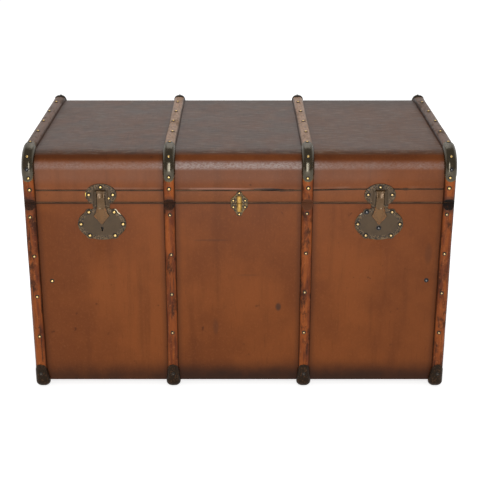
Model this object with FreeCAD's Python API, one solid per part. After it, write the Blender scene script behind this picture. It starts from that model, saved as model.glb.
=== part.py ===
import FreeCAD, Part
import math
import os

from FreeCAD import Vector

# Travelling trunk: pine boards under painted canvas, with bentwood slats round the lid and straight slats
# down the front, back and underside. Millimetres. X runs along the front, Y to the back and Z up, from an
# origin on the floor under the middle of the box.

# Box and lid
box_length = 915.0          # over the canvas, end to end
box_depth = 484.0           # over the canvas, front to back
box_height = 425.0          # underside of the canvas to the opening seam
lid_height = 109.0          # opening seam to the canvas on top
lid_bend_radius = 40.0      # outside of the canvas along the top front and back edges
seam_gap = 0.6              # between the closed lid and the box
board = 12.0                # pine
canvas = 1.0                # glued to the outside
lining = 1.0                # paper inside
edge_band_height = 29.0     # separate strip of canvas round the lid's lower edge
lip_thickness = 6.0         # dust lip inside the mouth of the box
lip_depth = 30.0            # its part below the seam
lip_rise = 10.0             # its part inside the closed lid
lip_clearance = 2.0         # between that part and the lid

# Slats and the pressed caps on them
slat_count = 4
slat_width = 25.0
slat_thickness = 12.0
slat_shifts = (0.0, 0.0, -3.5, 0.0)   # slips from even spacing
slat_side = 3.0             # upright part of a slat's side, under the round edge
slat_flat = 5.0             # flat middle of its crown
slat_slope = 14.0           # sloped top end of a box slat, under the seam
hoop_slope = 7.0            # sloped front end of a lid slat, over the seam
hoop_front_gap = 2.0        # end of a lid slat above the seam, in front
hoop_back_gap = 12.0        # the same at the back, where the opened lid needs room
cap_sheet = 0.9
cap_fit = 0.1               # between a cap and its slat
corner_cap_drop = 18.5      # below the lid's bend
corner_cap_run = 8.0        # past the bend, along the top
foot_cap_drop = 45.0        # up the slat from the underside of the canvas
foot_cap_run = 40.0         # along the runner
toe_spread = 2.5            # how much wider a foot cap is at the bend, on each side
toe_rise = 30.0             # where it starts to widen, above the bend
toe_run = 12.0              # where it is narrow again, along the runner

# Hasp locks
lock_offsets = (2.7, 4.4)   # locks sit this far right of the middle of their bays
fitting_sheet = 1.5         # pressed plates of locks, hinges, handles and dowel
lock_plate_width = 104.0
lock_plate_height = 73.0
lock_plate_drop = 11.5      # seam to the plate's top edge
lock_tab_width = 38.0
lock_ear_radius = 8.0       # round ears that take the upper and lower nails
lock_ear_shares = ((0.52, 0.74), (0.52, -0.72))
hasp_plate_width = 67.0
hasp_plate_height = 50.0
hasp_plate_rise = 18.0      # seam to the middle of its oval
hasp_plate_neck_width = 37.0
hasp_plate_neck_drop = 10.8     # neck below the seam
hasp_cheek_width = 5.5      # raised walls on both sides of the strap
hasp_cheek_height = 2.9     # over the plate
hasp_cheek_drop = 4.5       # seam to their lower ends
hasp_width = 18.0
hasp_sheet = 2.0
hasp_rise = 26.0            # seam to the pivot
hasp_gap = 0.4              # between the hanging hasp and the plates
hasp_knuckle_radius = 3.0
hasp_lug_length = 5.0
hasp_pin_radius = 1.3
hasp_strap_thickness = 3.0
hasp_strap_drop = 13.0      # end of the strap below the seam
hasp_strap_bulge = 4.0      # of its round end
shield_width = 34.0
shield_height = 44.0
shield_point_drop = 50.0    # seam to the shield's point
shield_waist_shares = (0.67, 0.74)
shield_hip_shares = (1.0, 0.48)
staple_width = 4.0
staple_height = 12.0
staple_reach = 8.0          # behind the lock plate's back
staple_eye_radius = 2.5
staple_drop = 24.0          # seam to its top
staple_clearance = 0.6
staple_swing = 2.5          # room under the staple as the hasp swings
lock_case_width = 56.0
lock_case_height = 52.0
lock_case_depth = 9.5
lock_case_drop = 17.0       # seam to the top of the case
lock_case_fit = 0.1         # between the case and its mortise
keyhole_radius = 2.8
keyhole_slot_width = 2.8
keyhole_slot_height = 8.0
keyhole_drop = 57.0         # seam to the middle of the round hole
keyhole_depth = 5.0
plug_radius = 4.8           # domed iron plug over the right keyhole
plug_height = 3.2
plug_shank_length = 4.0

# Dowel that lines up the lid in the middle of the front
dowel_width = 37.0
dowel_upper_height = 26.0   # plates, from the seam
dowel_lower_height = 30.0
dowel_neck_width = 14.0
dowel_shoulder_share = 0.3
dowel_tube_radius = 5.5
dowel_upper_tube = 16.0     # lengths of the tubes, from the seam
dowel_lower_tube = 20.0
dowel_tube_chamfer = 2.0
dowel_pin_radius = 2.2
dowel_pin_length = 9.0
dowel_clearance = 0.4
dowel_offset = 1.2          # pin's middle in front of the plate

# Lid hinges at the back
hinge_width = 60.0
hinge_end_width = 34.0
hinge_leaf_height = 50.0
hinge_standoff = 4.0        # pivot behind the canvas
hinge_knuckle_radius = 3.5
hinge_pin_radius = 2.0
hinge_knuckle_gap = 0.4
hinge_head_radius = 3.0
hinge_head_thickness = 1.5
pin_clearance = 0.06        # running fit of every pivot, on the radius

# Carrying handles on the ends
handle_drop = 130.0         # seam to the pivots
handle_spacing = 190.0      # between the brackets
handle_standoff = 14.0      # pivot outside the canvas
handle_rod_radius = 4.0
handle_boss_radius = 7.5
handle_boss_length = 12.0
handle_plate_width = 34.0
handle_plate_height = 62.0
handle_upper_bend = 12.0
handle_lower_bend = 14.0
handle_reach = 54.0         # pivot to the middle of the grip
handle_side_gap = 8.0       # boss to the start of the rod's bend
handle_head_radius = 6.0
handle_head_thickness = 2.0
handle_head_gap = 0.5
grip_radius = 10.0
grip_end_radius = 8.0

overrun = 5.0               # how far a cutting shape passes the surface that it cuts

# Places worked out from the sizes
box_bottom = slat_thickness + cap_fit + cap_sheet
seam = box_bottom + box_height
lid_top = seam + lid_height
box_top = seam - seam_gap / 2
lid_low = seam + seam_gap / 2
end = box_length / 2
front = -box_depth / 2
back = box_depth / 2
bend_level = lid_top - lid_bend_radius
slat_pitch = (box_length - slat_width) / (slat_count - 1)
slat_places = [slat_pitch * index - (box_length - slat_width) / 2 + slat_shifts[index]
               for index in range(slat_count)]
bay_places = [(slat_places[index] + slat_places[index + 1]) / 2 for index in (0, slat_count - 2)]
lock_places = [x + offset for x, offset in zip(bay_places, lock_offsets)]
side_names = ("left", "right")
X_AXIS = Vector(1, 0, 0)
Y_AXIS = Vector(0, 1, 0)
Z_AXIS = Vector(0, 0, 1)
ORIGIN = Vector()


def save(node, shape):
    """One file for one node, a group of like solids or a single one."""
    shape.exportStep("parts/" + node + ".step")


def block(low, high):
    """Rectangular solid between two corners."""
    size = [b - a for a, b in zip(low, high)]
    return Part.makeBox(*size, Vector(*low))


def outline(*pieces):
    """Flat face inside lines of two points and arcs of three."""
    edges = []
    for points in pieces:
        curve = Part.LineSegment(*points) if len(points) == 2 else Part.Arc(*points)
        edges.append(curve.toShape())
    return Part.Face(Part.Wire(edges))


def polygon(points):
    """Flat face inside straight lines."""
    return Part.Face(Part.makePolygon(list(points) + [points[0]]))


def mirrored(point):
    """The same point on the left of a piece's own middle."""
    return Vector(-point.x, point.y, point.z)


def one_solid(shapes):
    """Pieces that were worked from one blank, with no lines left between them."""
    return shapes[0].fuse(list(shapes[1:])).removeSplitter()


def disc(u, v, radius, low, high):
    """Round plate in a fitting's frame."""
    return Part.makeCylinder(radius, high - low, Vector(u, v, low))


def barrel(start, stop, v, w, radius):
    """Cylinder along a fitting's pivot."""
    return Part.makeCylinder(radius, stop - start, Vector(start, v, w), X_AXIS)


# A fitting is drawn in its own frame: u to the right and v up on the surface that carries it, and w out
# from that surface. These four set it on the trunk, its u = v = 0 at a place along the side and a level.
def on_front(shape, x, z):
    """On the front, at x along it."""
    placed = shape.rotated(ORIGIN, X_AXIS, 90)
    return placed.translated(Vector(x, front, z))


def on_back(shape, x, z):
    """On the back, at x along it."""
    placed = shape.rotated(ORIGIN, X_AXIS, 90).rotated(ORIGIN, Z_AXIS, 180)
    return placed.translated(Vector(x, back, z))


def on_left(shape, y, z):
    """On the left end, at y along it."""
    placed = shape.rotated(ORIGIN, X_AXIS, 90).rotated(ORIGIN, Z_AXIS, -90)
    return placed.translated(Vector(-end, y, z))


def on_right(shape, y, z):
    """On the right end, at y along it."""
    placed = shape.rotated(ORIGIN, X_AXIS, 90).rotated(ORIGIN, Z_AXIS, 90)
    return placed.translated(Vector(end, y, z))


# Locks, drawn about the seam
def oval_sheet(level, half_width, half_height):
    """Oval plate with its middle at this level."""
    oval = Part.Ellipse(Vector(0, level, 0), half_width, half_height)
    return Part.Face(Part.Wire(oval.toShape())).extrude(Vector(0, 0, fitting_sheet))


def lock_plate(hole):
    """Lower plate: an oval with four round ears, a tab under the hasp, a slot for the staple and a hole."""
    half_width = lock_plate_width / 2
    half_height = lock_plate_height / 2
    middle = -lock_plate_drop - half_height
    plate = [oval_sheet(middle, half_width, half_height)]
    for side in (-1, 1):
        for u_share, v_share in lock_ear_shares:
            u = side * u_share * half_width
            plate.append(disc(u, middle + v_share * half_height, lock_ear_radius, 0, fitting_sheet))
    half_tab = lock_tab_width / 2
    plate.append(block((-half_tab, middle, 0), (half_tab, -lock_plate_drop, fitting_sheet)))
    return one_solid(plate).cut(staple_slot()).cut(hole)


def staple_slot():
    """Way of the hasp's staple into the case, open at the rim so that the lid can lift it out."""
    half_width = staple_width / 2 + staple_clearance
    low = -staple_drop - staple_height - staple_swing
    depth = staple_reach + staple_clearance
    return block((-half_width, low, -depth), (half_width, overrun, fitting_sheet + overrun))


def keyhole():
    """Round hole with a slot below it."""
    out = fitting_sheet + overrun
    half_width = keyhole_slot_width / 2
    slot_low = -keyhole_drop - keyhole_slot_height
    slot = block((-half_width, slot_low, -keyhole_depth), (half_width, -keyhole_drop, out))
    return disc(0, -keyhole_drop, keyhole_radius, -keyhole_depth, out).fuse(slot)


def plug_hole():
    """Round hole that takes the shank of the plug."""
    return disc(0, -keyhole_drop, keyhole_radius, -plug_shank_length, fitting_sheet + overrun)


def keyhole_plug():
    """Low dome on a shank that fills the hole."""
    rise = plug_height
    ball_radius = (plug_radius * plug_radius + rise * rise) / (rise + rise)
    ball = Part.makeSphere(ball_radius, Vector(0, -keyhole_drop, fitting_sheet + rise - ball_radius))
    head = ball.common(disc(0, -keyhole_drop, plug_radius, fitting_sheet, fitting_sheet + rise + overrun))
    shank = disc(0, -keyhole_drop, keyhole_radius - pin_clearance, -plug_shank_length, fitting_sheet)
    return one_solid([head, shank])


def lock_case(fit):
    """Lock body let into the front board, grown by fit for its mortise."""
    half_width = lock_case_width / 2 + fit
    low = -lock_case_drop - lock_case_height - fit
    deep = -canvas - lock_case_depth - fit
    return block((-half_width, low, deep), (half_width, fit - lock_case_drop, -canvas))


def hasp_pivot():
    """Level and stand-off of the hasp's pivot."""
    return hasp_rise, fitting_sheet + hasp_gap + hasp_knuckle_radius


def hasp_plate():
    """Upper plate: an oval, a neck over the seam, lugs for the pin and cheeks below them."""
    v, w = hasp_pivot()
    half_width = hasp_plate_width / 2
    plate = [oval_sheet(hasp_plate_rise, half_width, hasp_plate_height / 2)]
    half_neck = hasp_plate_neck_width / 2
    plate.append(block((-half_neck, 0, 0), (half_neck, hasp_plate_rise, fitting_sheet)))
    plate.append(block((-half_neck, -hasp_plate_neck_drop, hasp_gap), (half_neck, 0, fitting_sheet)))
    lug_start = hasp_width / 2 + hasp_gap
    for side in (-1, 1):
        start, stop = sorted((side * lug_start, side * (lug_start + hasp_lug_length)))
        plate.append(barrel(start, stop, v, w, hasp_knuckle_radius))
        low = (start, v - hasp_knuckle_radius, 0)
        plate.append(block(low, (stop, v + hasp_knuckle_radius, w)))
        start, stop = sorted((side * lug_start, side * (lug_start + hasp_cheek_width)))
        cheek_top = fitting_sheet + hasp_cheek_height
        plate.append(block((start, -hasp_cheek_drop, hasp_gap), (stop, v, cheek_top)))
    reach = lug_start + hasp_lug_length
    solid = one_solid(plate)
    below = block((-half_width, -hasp_plate_height, -overrun), (half_width, 0, hasp_gap))
    return solid.cut(below).cut(barrel(-reach, reach, v, w, hasp_pin_radius))


def hasp_pin():
    """Pin driven through both lugs, with the hasp's knuckle loose on it."""
    v, w = hasp_pivot()
    reach = hasp_width / 2 + hasp_gap + hasp_lug_length
    return barrel(-reach, reach, v, w, hasp_pin_radius)


def hasp():
    """Knuckle, strap and pointed shield in one pressing, with the staple on its back."""
    v, w = hasp_pivot()
    back_face = fitting_sheet + hasp_gap
    half = hasp_width / 2
    knuckle = barrel(-half, half, v, w, hasp_knuckle_radius)
    strap_low = -hasp_strap_drop
    strap_corners = Vector(half, strap_low + hasp_strap_bulge, back_face), Vector(half, v, back_face)
    strap = outline(strap_corners, (strap_corners[1], mirrored(strap_corners[1])),
                    (mirrored(strap_corners[1]), mirrored(strap_corners[0])),
                    (mirrored(strap_corners[0]), Vector(0, strap_low, back_face), strap_corners[0]))
    strap = strap.extrude(Vector(0, 0, hasp_strap_thickness))

    def shield_point(shares):
        """Point of the shield's right side, from shares of its half width and of its height."""
        return Vector(shares[0] * shield_width / 2, shares[1] * shield_height - shield_point_drop, back_face)

    top = Vector(half, shield_height - shield_point_drop, back_face)
    hip = shield_point(shield_hip_shares)
    point = Vector(0, -shield_point_drop, back_face)
    right = [(top, shield_point(shield_waist_shares), hip), (hip, point)]
    left = [tuple(mirrored(p) for p in reversed(piece)) for piece in reversed(right)]
    shield = outline(*right, *left, (mirrored(top), top)).extrude(Vector(0, 0, hasp_sheet))
    staple_top = -staple_drop
    staple = block((-staple_width / 2, staple_top - staple_height, -staple_reach),
                   (staple_width / 2, staple_top, back_face))
    eye_level = staple_top - staple_height / 2
    eye = barrel(-staple_width, staple_width, eye_level, -staple_reach / 2, staple_eye_radius)
    solid = one_solid([knuckle, strap, shield, staple.cut(eye)])
    return solid.cut(barrel(-half - overrun, half + overrun, v, w, hasp_pin_radius + pin_clearance))


# Dowel, drawn about the seam
def dowel_half(height, tube_end):
    """Plate with a raised half-round tube, chamfered at its end; it grows upwards from the seam."""
    low = seam_gap / 2
    half = dowel_width / 2
    neck = dowel_neck_width / 2
    shoulder = low + dowel_shoulder_share * height
    neck_level = height - neck
    crown = Vector(0, height, 0)
    right = [Vector(half, low, 0), Vector(half, shoulder, 0), Vector(neck, neck_level, 0)]
    left = [mirrored(p) for p in right]
    face = outline(right[0:2], right[1:3], (right[2], crown, left[2]), (left[2], left[1]), left[1::-1],
                   (left[0], right[0]))
    plate = face.extrude(Vector(0, 0, fitting_sheet))
    straight = tube_end - dowel_tube_chamfer
    tube = Part.makeCylinder(dowel_tube_radius, straight - low, Vector(0, low, fitting_sheet), Y_AXIS)
    tip = Part.makeCone(dowel_tube_radius, dowel_tube_radius - dowel_tube_chamfer, dowel_tube_chamfer,
                        Vector(0, straight, fitting_sheet), Y_AXIS)
    under = block((-half, -height, -half), (half, height + half, 0))
    return one_solid([plate, tube.cut(under), tip.cut(under)])


def dowel_rod(radius, low, high):
    """Dowel or its bore, along v."""
    return Part.makeCylinder(radius, high - low, Vector(0, low, fitting_sheet + dowel_offset), Y_AXIS)


# Hinges, drawn about the seam with v up on the lid
def hinge_leaf(own, other):
    """Tapered leaf above the pivot, with barrels over the lengths in own and room for those in other."""
    half = hinge_width / 2
    end_half = hinge_end_width / 2
    corner = hinge_leaf_height - end_half
    low = seam_gap / 2
    crown = Vector(0, hinge_leaf_height, 0)
    right = [Vector(half, low, 0), Vector(half, low + hinge_knuckle_radius, 0), Vector(end_half, corner, 0)]
    left = [mirrored(p) for p in right]
    face = outline(right[0:2], right[1:3], (right[2], crown, left[2]), (left[2], left[1]), left[1::-1],
                   (left[0], right[0]))
    leaf = face.extrude(Vector(0, 0, fitting_sheet))
    room = hinge_knuckle_radius + hinge_knuckle_gap
    for start, stop in other:
        low_corner = (start - hinge_knuckle_gap, -room, -overrun)
        leaf = leaf.cut(block(low_corner, (stop + hinge_knuckle_gap, room, hinge_standoff)))
    barrels = []
    for start, stop in own:
        knuckle = barrel(start, stop, 0, hinge_standoff, hinge_knuckle_radius)
        barrels += [knuckle, block((start, low, 0), (stop, hinge_knuckle_radius, hinge_standoff))]
    bore_radius = hinge_pin_radius + pin_clearance
    bore = barrel(-half - overrun, half + overrun, 0, hinge_standoff, bore_radius)
    return one_solid([leaf] + barrels).cut(bore)


# Handles, drawn about their pivots
def handle_bracket(side):
    """Oval plate with a bored boss that stands off it."""
    u = side * handle_spacing / 2
    half_width = handle_plate_width / 2
    straight = handle_plate_height / 2 - half_width
    plate = block((u - half_width, -straight, 0), (u + half_width, straight, fitting_sheet))
    ends = [disc(u, level, half_width, 0, fitting_sheet) for level in (-straight, straight)]
    start = u - handle_boss_length / 2
    stop = u + handle_boss_length / 2
    boss = barrel(start, stop, 0, handle_standoff, handle_boss_radius)
    web = block((start, -handle_boss_radius, 0), (stop, handle_boss_radius, handle_standoff))
    bore = barrel(start - overrun, stop + overrun, 0, handle_standoff, handle_rod_radius + pin_clearance)
    return one_solid([plate, boss, web] + ends).cut(bore)


def grip_half_length():
    """Straight middle of the handle's rod, from its centre to the lower bend."""
    boss_inside = handle_spacing / 2 - handle_boss_length / 2
    return boss_inside - handle_side_gap - handle_upper_bend - handle_lower_bend


def handle_rod():
    """Steel rod bent to a bail, with a head outside each bracket's boss."""
    w = handle_standoff
    bend_share = math.cos(math.pi / 4)
    half_grip = grip_half_length()
    arm = half_grip + handle_lower_bend
    bend_start = arm + handle_upper_bend
    tip = handle_spacing / 2 + handle_boss_length / 2 + handle_head_gap
    upper = (Vector(bend_start, 0, w),
             Vector(bend_start - bend_share * handle_upper_bend, (bend_share - 1) * handle_upper_bend, w),
             Vector(arm, -handle_upper_bend, w))
    level = handle_lower_bend - handle_reach
    mid = bend_share * handle_lower_bend
    lower = (Vector(arm, level, w), Vector(half_grip + mid, level - mid, w),
             Vector(half_grip, -handle_reach, w))
    right = [(Vector(tip, 0, w), upper[0]), upper, (upper[2], lower[0]), lower]
    left = [tuple(mirrored(p) for p in reversed(piece)) for piece in reversed(right)]
    path = []
    for points in right + [(lower[2], left[0][0])] + left:
        curve = Part.LineSegment(*points) if len(points) == 2 else Part.Arc(*points)
        path.append(curve.toShape())
    section = Part.Wire(Part.makeCircle(handle_rod_radius, Vector(tip, 0, w), X_AXIS))
    rod = Part.Wire(path).makePipeShell([section], True, True)
    heads = [barrel(tip, tip + handle_head_thickness, 0, w, handle_head_radius),
             barrel(-tip - handle_head_thickness, -tip, 0, w, handle_head_radius)]
    return one_solid([rod] + heads)


def handle_grip():
    """Leather roll round the rod, fuller in the middle."""
    half = grip_half_length()
    bore = handle_rod_radius + pin_clearance
    inner = Vector(-half, bore, 0), Vector(half, bore, 0)
    tips = Vector(half, grip_end_radius, 0), Vector(-half, grip_end_radius, 0)
    crown = Vector(0, grip_radius, 0)
    face = outline(inner, (inner[1], tips[0]), (tips[0], crown, tips[1]), (tips[1], inner[0]))
    roll = face.revolve(ORIGIN, X_AXIS, 360)
    return roll.translated(Vector(0, -handle_reach, handle_standoff))


# Slats and caps
def slat_section(grow, base, spread=0):
    """Slat section across X at Z = 0: flat side at Y = -base, upright sides, round edges, flat crown."""
    flat = slat_flat / 2
    half = slat_width / 2 + spread + grow
    run = slat_width / 2 + spread - flat
    rise = slat_thickness - slat_side
    edge_radius = (run * run + rise * rise) / (rise + rise)
    radius = edge_radius + grow
    middle = -base - slat_thickness + edge_radius
    shoulder_angle = math.acos((half - flat) / radius)
    half_angle = (shoulder_angle + math.pi / 2) / 2
    foot = Vector(half, -base, 0)
    edge = [Vector(flat + radius * math.cos(angle), middle - radius * math.sin(angle), 0)
            for angle in (shoulder_angle, half_angle)] + [Vector(flat, middle - radius, 0)]
    other = [mirrored(p) for p in reversed(edge)]
    return outline((mirrored(foot), foot), (foot, edge[0]), edge, (edge[2], other[0]), other,
                   (other[2], mirrored(foot)))


def bent_slat(grow, radius, drop, run):
    """Slat section up a face, a quarter turn round the X axis, and on along +Y."""
    section = slat_section(grow, radius)
    pieces = [section.extrude(Vector(0, 0, -drop)), section.revolve(ORIGIN, X_AXIS, -90)]
    if run > 0:
        pieces.append(section.rotated(ORIGIN, X_AXIS, -90).extrude(Vector(0, run, 0)))
    return one_solid(pieces)


def toe(grow, lean):
    """Wide part of a foot cap round the bend, which leans to one side."""
    narrow = slat_section(grow, 0)
    wide = slat_section(grow, 0, toe_spread).translated(Vector(lean, 0, 0))
    above = narrow.translated(Vector(0, 0, -toe_rise))
    rise = Part.makeLoft([above.OuterWire, wide.OuterWire], True, True)
    wide_end = wide.rotated(ORIGIN, X_AXIS, -90)
    narrow_end = narrow.rotated(ORIGIN, X_AXIS, -90).translated(Vector(0, toe_run, 0))
    run = Part.makeLoft([wide_end.OuterWire, narrow_end.OuterWire], True, True)
    return [rise, wide.revolve(ORIGIN, X_AXIS, -90), run]


def bent_cap(radius, drop, run, wide_parts=()):
    """Pressed sheet over a slat's bend, with half-round ends."""
    grow = cap_fit + cap_sheet
    half = slat_width / 2 + grow
    body = one_solid([bent_slat(grow, radius, drop, run), *wide_parts])
    shell = body.cut(bent_slat(cap_fit, radius, drop + overrun, run + overrun))
    reach = radius + slat_thickness + grow + overrun
    wide = half + toe_spread + overrun
    drop_end = block((-wide, -reach, -drop - overrun), (wide, 0, half - drop))
    drop_end = drop_end.cut(Part.makeCylinder(half, reach, Vector(0, -reach, half - drop), Y_AXIS))
    run_end = block((-wide, run - half, 0), (wide, run + overrun, reach))
    run_end = run_end.cut(Part.makeCylinder(half, reach, Vector(0, run - half, 0), Z_AXIS))
    return shell.cut(run_end).cut(drop_end)


def end_waste(x, level, slope):
    """Wood taken off a slat's end, on a slope from its flat side at level to its crown at level + slope."""
    past = math.copysign(overrun, -slope)
    deep = front - slat_thickness - overrun
    steep = slope * (slat_thickness + overrun) / slat_thickness
    face = polygon([Vector(x - slat_width, front, level), Vector(x - slat_width, deep, level + steep),
                    Vector(x - slat_width, deep, level + past), Vector(x - slat_width, front, level + past)])
    return face.extrude(Vector(slat_width + slat_width, 0, 0))


def lid_slat(x):
    """Hoop from just above the seam in front, over the lid, to a little above the seam at the back."""
    half_run = back - lid_bend_radius
    front_part = bent_slat(0, lid_bend_radius, bend_level - seam - hoop_front_gap, half_run)
    back_part = bent_slat(0, lid_bend_radius, bend_level - seam - hoop_back_gap, half_run)
    place = Vector(x, front + lid_bend_radius, bend_level)
    front_part = front_part.translated(place).cut(end_waste(x, seam + hoop_front_gap, hoop_slope))
    return one_solid([front_part, turned_back(back_part.translated(place))])


def turned_back(shape):
    """The same piece at the back of the trunk."""
    return shape.mirror(ORIGIN, Y_AXIS)


def box_slat(x):
    """Front slat with a round nose at the foot and a sloped end under the seam."""
    slat = bent_slat(0, 0, box_top - box_bottom, 0).mirror(ORIGIN, Z_AXIS)
    slat = slat.translated(Vector(x, front, box_bottom))
    return slat.cut(end_waste(x, box_top, -slat_slope))


def runner(x):
    """Straight slat under the box."""
    section = slat_section(0, 0).rotated(ORIGIN, X_AXIS, 90)
    return section.extrude(Vector(0, box_depth, 0)).translated(Vector(x, front, box_bottom))


def corner_cap(x):
    """Cap over a lid slat's front bend."""
    cap = bent_cap(lid_bend_radius, corner_cap_drop, corner_cap_run)
    return cap.translated(Vector(x, front + lid_bend_radius, bend_level))


def foot_cap(x):
    """Cap round a front slat's foot and the end of its runner. The outer toes widen to the inside only."""
    lean = -math.copysign(toe_spread, x) if abs(x) > slat_pitch else 0
    toe_parts = toe(cap_fit + cap_sheet, lean)
    cap = bent_cap(0, foot_cap_drop, foot_cap_run, toe_parts).mirror(ORIGIN, Z_AXIS)
    return cap.translated(Vector(x, front, box_bottom))


# Lid shell
def lid_profile(inset, low):
    """Section of the lid at X = 0, inside the canvas by inset: upright sides, round bends, flat top."""
    y = back - inset
    z = lid_top - inset
    radius = lid_bend_radius - inset
    mid = radius * (1 - math.cos(math.pi / 4))
    bend = (Vector(0, y, z - radius), Vector(0, y - mid, z - mid), Vector(0, y - radius, z))
    other = tuple(Vector(0, -p.y, p.z) for p in reversed(bend))
    feet = Vector(0, -y, low), Vector(0, y, low)
    return outline(feet, (feet[1], bend[0]), bend, (bend[2], other[0]), other, (other[2], feet[0]))


def lid_block(inset, low, half_length):
    """Lid profile carried along X."""
    profile = lid_profile(inset, low).translated(Vector(-half_length, 0, 0))
    return profile.extrude(Vector(half_length + half_length, 0, 0))


def lid_bend():
    """Quarter-round stave along the lid's front edge."""
    outer = lid_bend_radius - canvas
    inner = outer - board
    mid = math.cos(math.pi / 4)
    out_arc = Vector(0, -outer, 0), Vector(0, -outer * mid, outer * mid), Vector(0, 0, outer)
    in_arc = Vector(0, 0, inner), Vector(0, -inner * mid, inner * mid), Vector(0, -inner, 0)
    face = outline(out_arc, (out_arc[2], in_arc[0]), in_arc, (in_arc[2], out_arc[0]))
    half_length = end - canvas
    stave = face.extrude(Vector(half_length + half_length, 0, 0))
    return stave.translated(Vector(-half_length, front + lid_bend_radius, bend_level))


os.makedirs("parts", exist_ok=True)

# Offsets of the layers inside the canvas
wood = canvas                       # outer face of the boards
inside = canvas + board             # inner face of the boards
clear = inside + lining             # face of the lining

# Box boards: front and back run through, the ends and the bottom fit between them
lock_holes = (keyhole(), plug_hole())
lock_seats = []
for x, hole in zip(lock_places, lock_holes):
    lock_seats.append(on_front(lock_case(lock_case_fit).fuse([staple_slot(), hole]), x, seam))
front_board = block((wood - end, front + wood, box_bottom + wood), (end - wood, front + inside, box_top))
back_board = turned_back(front_board)
for seat in lock_seats:
    front_board = front_board.cut(seat)
save("front_board", front_board)
save("back_board", back_board)
for name, side in zip(side_names, (-1, 1)):
    outer, inner = side * (end - wood), side * (end - inside)
    low_x, high_x = sorted((outer, inner))
    low, high = (low_x, front + inside, box_bottom + wood), (high_x, back - inside, box_top)
    save(name + "_end_board", block(low, high))
save("bottom_board", block((inside - end, front + inside, box_bottom + wood),
                           (end - inside, back - inside, box_bottom + inside)))

# Canvas outside and paper inside
canvas_box = block((-end, front, box_bottom), (end, back, box_top))
canvas_hole = block((wood - end, front + wood, box_bottom + wood), (end - wood, back - wood, seam))
canvas_box = canvas_box.cut(canvas_hole)
for seat in lock_seats:
    canvas_box = canvas_box.cut(seat)
save("box_canvas", canvas_box)
paper = block((inside - end, front + inside, box_bottom + inside), (end - inside, back - inside, box_top))
room = block((clear - end, front + clear, box_bottom + clear), (end - clear, back - clear, seam))
save("box_lining", paper.cut(room))

# Dust lip round the front and ends of the mouth
lip_inside = clear + lip_thickness
lip_hole = block((lip_inside - end, front + lip_inside, seam - lip_depth - overrun),
                 (end - lip_inside, back, seam + lip_rise + overrun))
lip_low = block((clear - end, front + clear, seam - lip_depth), (end - clear, back - clear, box_top))
lip_edge = clear + lip_clearance
lip_top = seam + lip_rise
lip_high = block((lip_edge - end, front + lip_edge, box_top), (end - lip_edge, back - lip_edge, lip_top))
save("dust_lip", one_solid([lip_low, lip_high]).cut(lip_hole))

# Slats, runners and their caps
for number, x in enumerate(slat_places, start=1):
    save("front_slat_%d" % number, box_slat(x))
    save("back_slat_%d" % number, turned_back(box_slat(x)))
    save("bottom_runner_%d" % number, runner(x))
    save("lid_slat_%d" % number, lid_slat(x))
foot_caps = [foot_cap(x) for x in slat_places]
corner_caps = [corner_cap(x) for x in slat_places]
save("front_foot_caps", Part.makeCompound(foot_caps))
save("back_foot_caps", Part.makeCompound([turned_back(cap) for cap in foot_caps]))
save("front_corner_caps", Part.makeCompound(corner_caps))
save("back_corner_caps", Part.makeCompound([turned_back(cap) for cap in corner_caps]))

# Lid boards, canvas, edge band and lining
front_rail = block((wood - end, front + wood, lid_low), (end - wood, front + inside, bend_level))
save("lid_front_rail", front_rail)
save("lid_back_rail", turned_back(front_rail))
save("lid_front_bend", lid_bend())
save("lid_back_bend", turned_back(lid_bend()))
save("lid_top_board", block((wood - end, front + lid_bend_radius, lid_top - inside),
                            (end - wood, back - lid_bend_radius, lid_top - wood)))
lid_end = lid_profile(inside, lid_low).extrude(Vector(board, 0, 0))
save("lid_left_end", lid_end.translated(Vector(wood - end, 0, 0)))
save("lid_right_end", lid_end.translated(Vector(end - inside, 0, 0)))
band_top = seam + edge_band_height
save("lid_canvas", lid_block(0, band_top, end).cut(lid_block(wood, band_top - overrun, end - wood)))
band = block((-end, front, lid_low), (end, back, band_top))
band_hole = block((wood - end, front + wood, seam - overrun), (end - wood, back - wood, lid_top))
save("lid_edge_band", band.cut(band_hole))
lid_room = lid_block(clear, seam - overrun, end - clear)
save("lid_lining", lid_block(inside, lid_low, end - inside).cut(lid_room))

# Hasp locks in the outer bays
cases = []
for name, x, hole in zip(side_names, lock_places, lock_holes):
    cases.append(on_front(lock_case(0).cut(staple_slot()).cut(hole), x, seam))
    save(name + "_lock_plate", on_front(lock_plate(hole), x, seam))
    save(name + "_hasp_plate", on_front(hasp_plate(), x, seam))
    save(name + "_hasp", on_front(hasp(), x, seam))
save("lock_cases", Part.makeCompound(cases))
save("hasp_pins", Part.makeCompound([on_front(hasp_pin(), x, seam) for x in lock_places]))
save("keyhole_plug", on_front(keyhole_plug(), lock_places[1], seam))

# Dowel in the middle bay: the lid's half carries the pin
upper_half = dowel_half(dowel_upper_height, dowel_upper_tube)
upper_half = one_solid([upper_half, dowel_rod(dowel_pin_radius, -dowel_pin_length, seam_gap)])
bore = dowel_rod(dowel_pin_radius + dowel_clearance, -dowel_pin_length - dowel_clearance, overrun)
lower_half = dowel_half(dowel_lower_height, dowel_lower_tube).mirror(ORIGIN, Y_AXIS).cut(bore)
save("dowel_upper_half", on_front(upper_half, 0, seam))
save("dowel_lower_half", on_front(lower_half, 0, seam))

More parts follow.
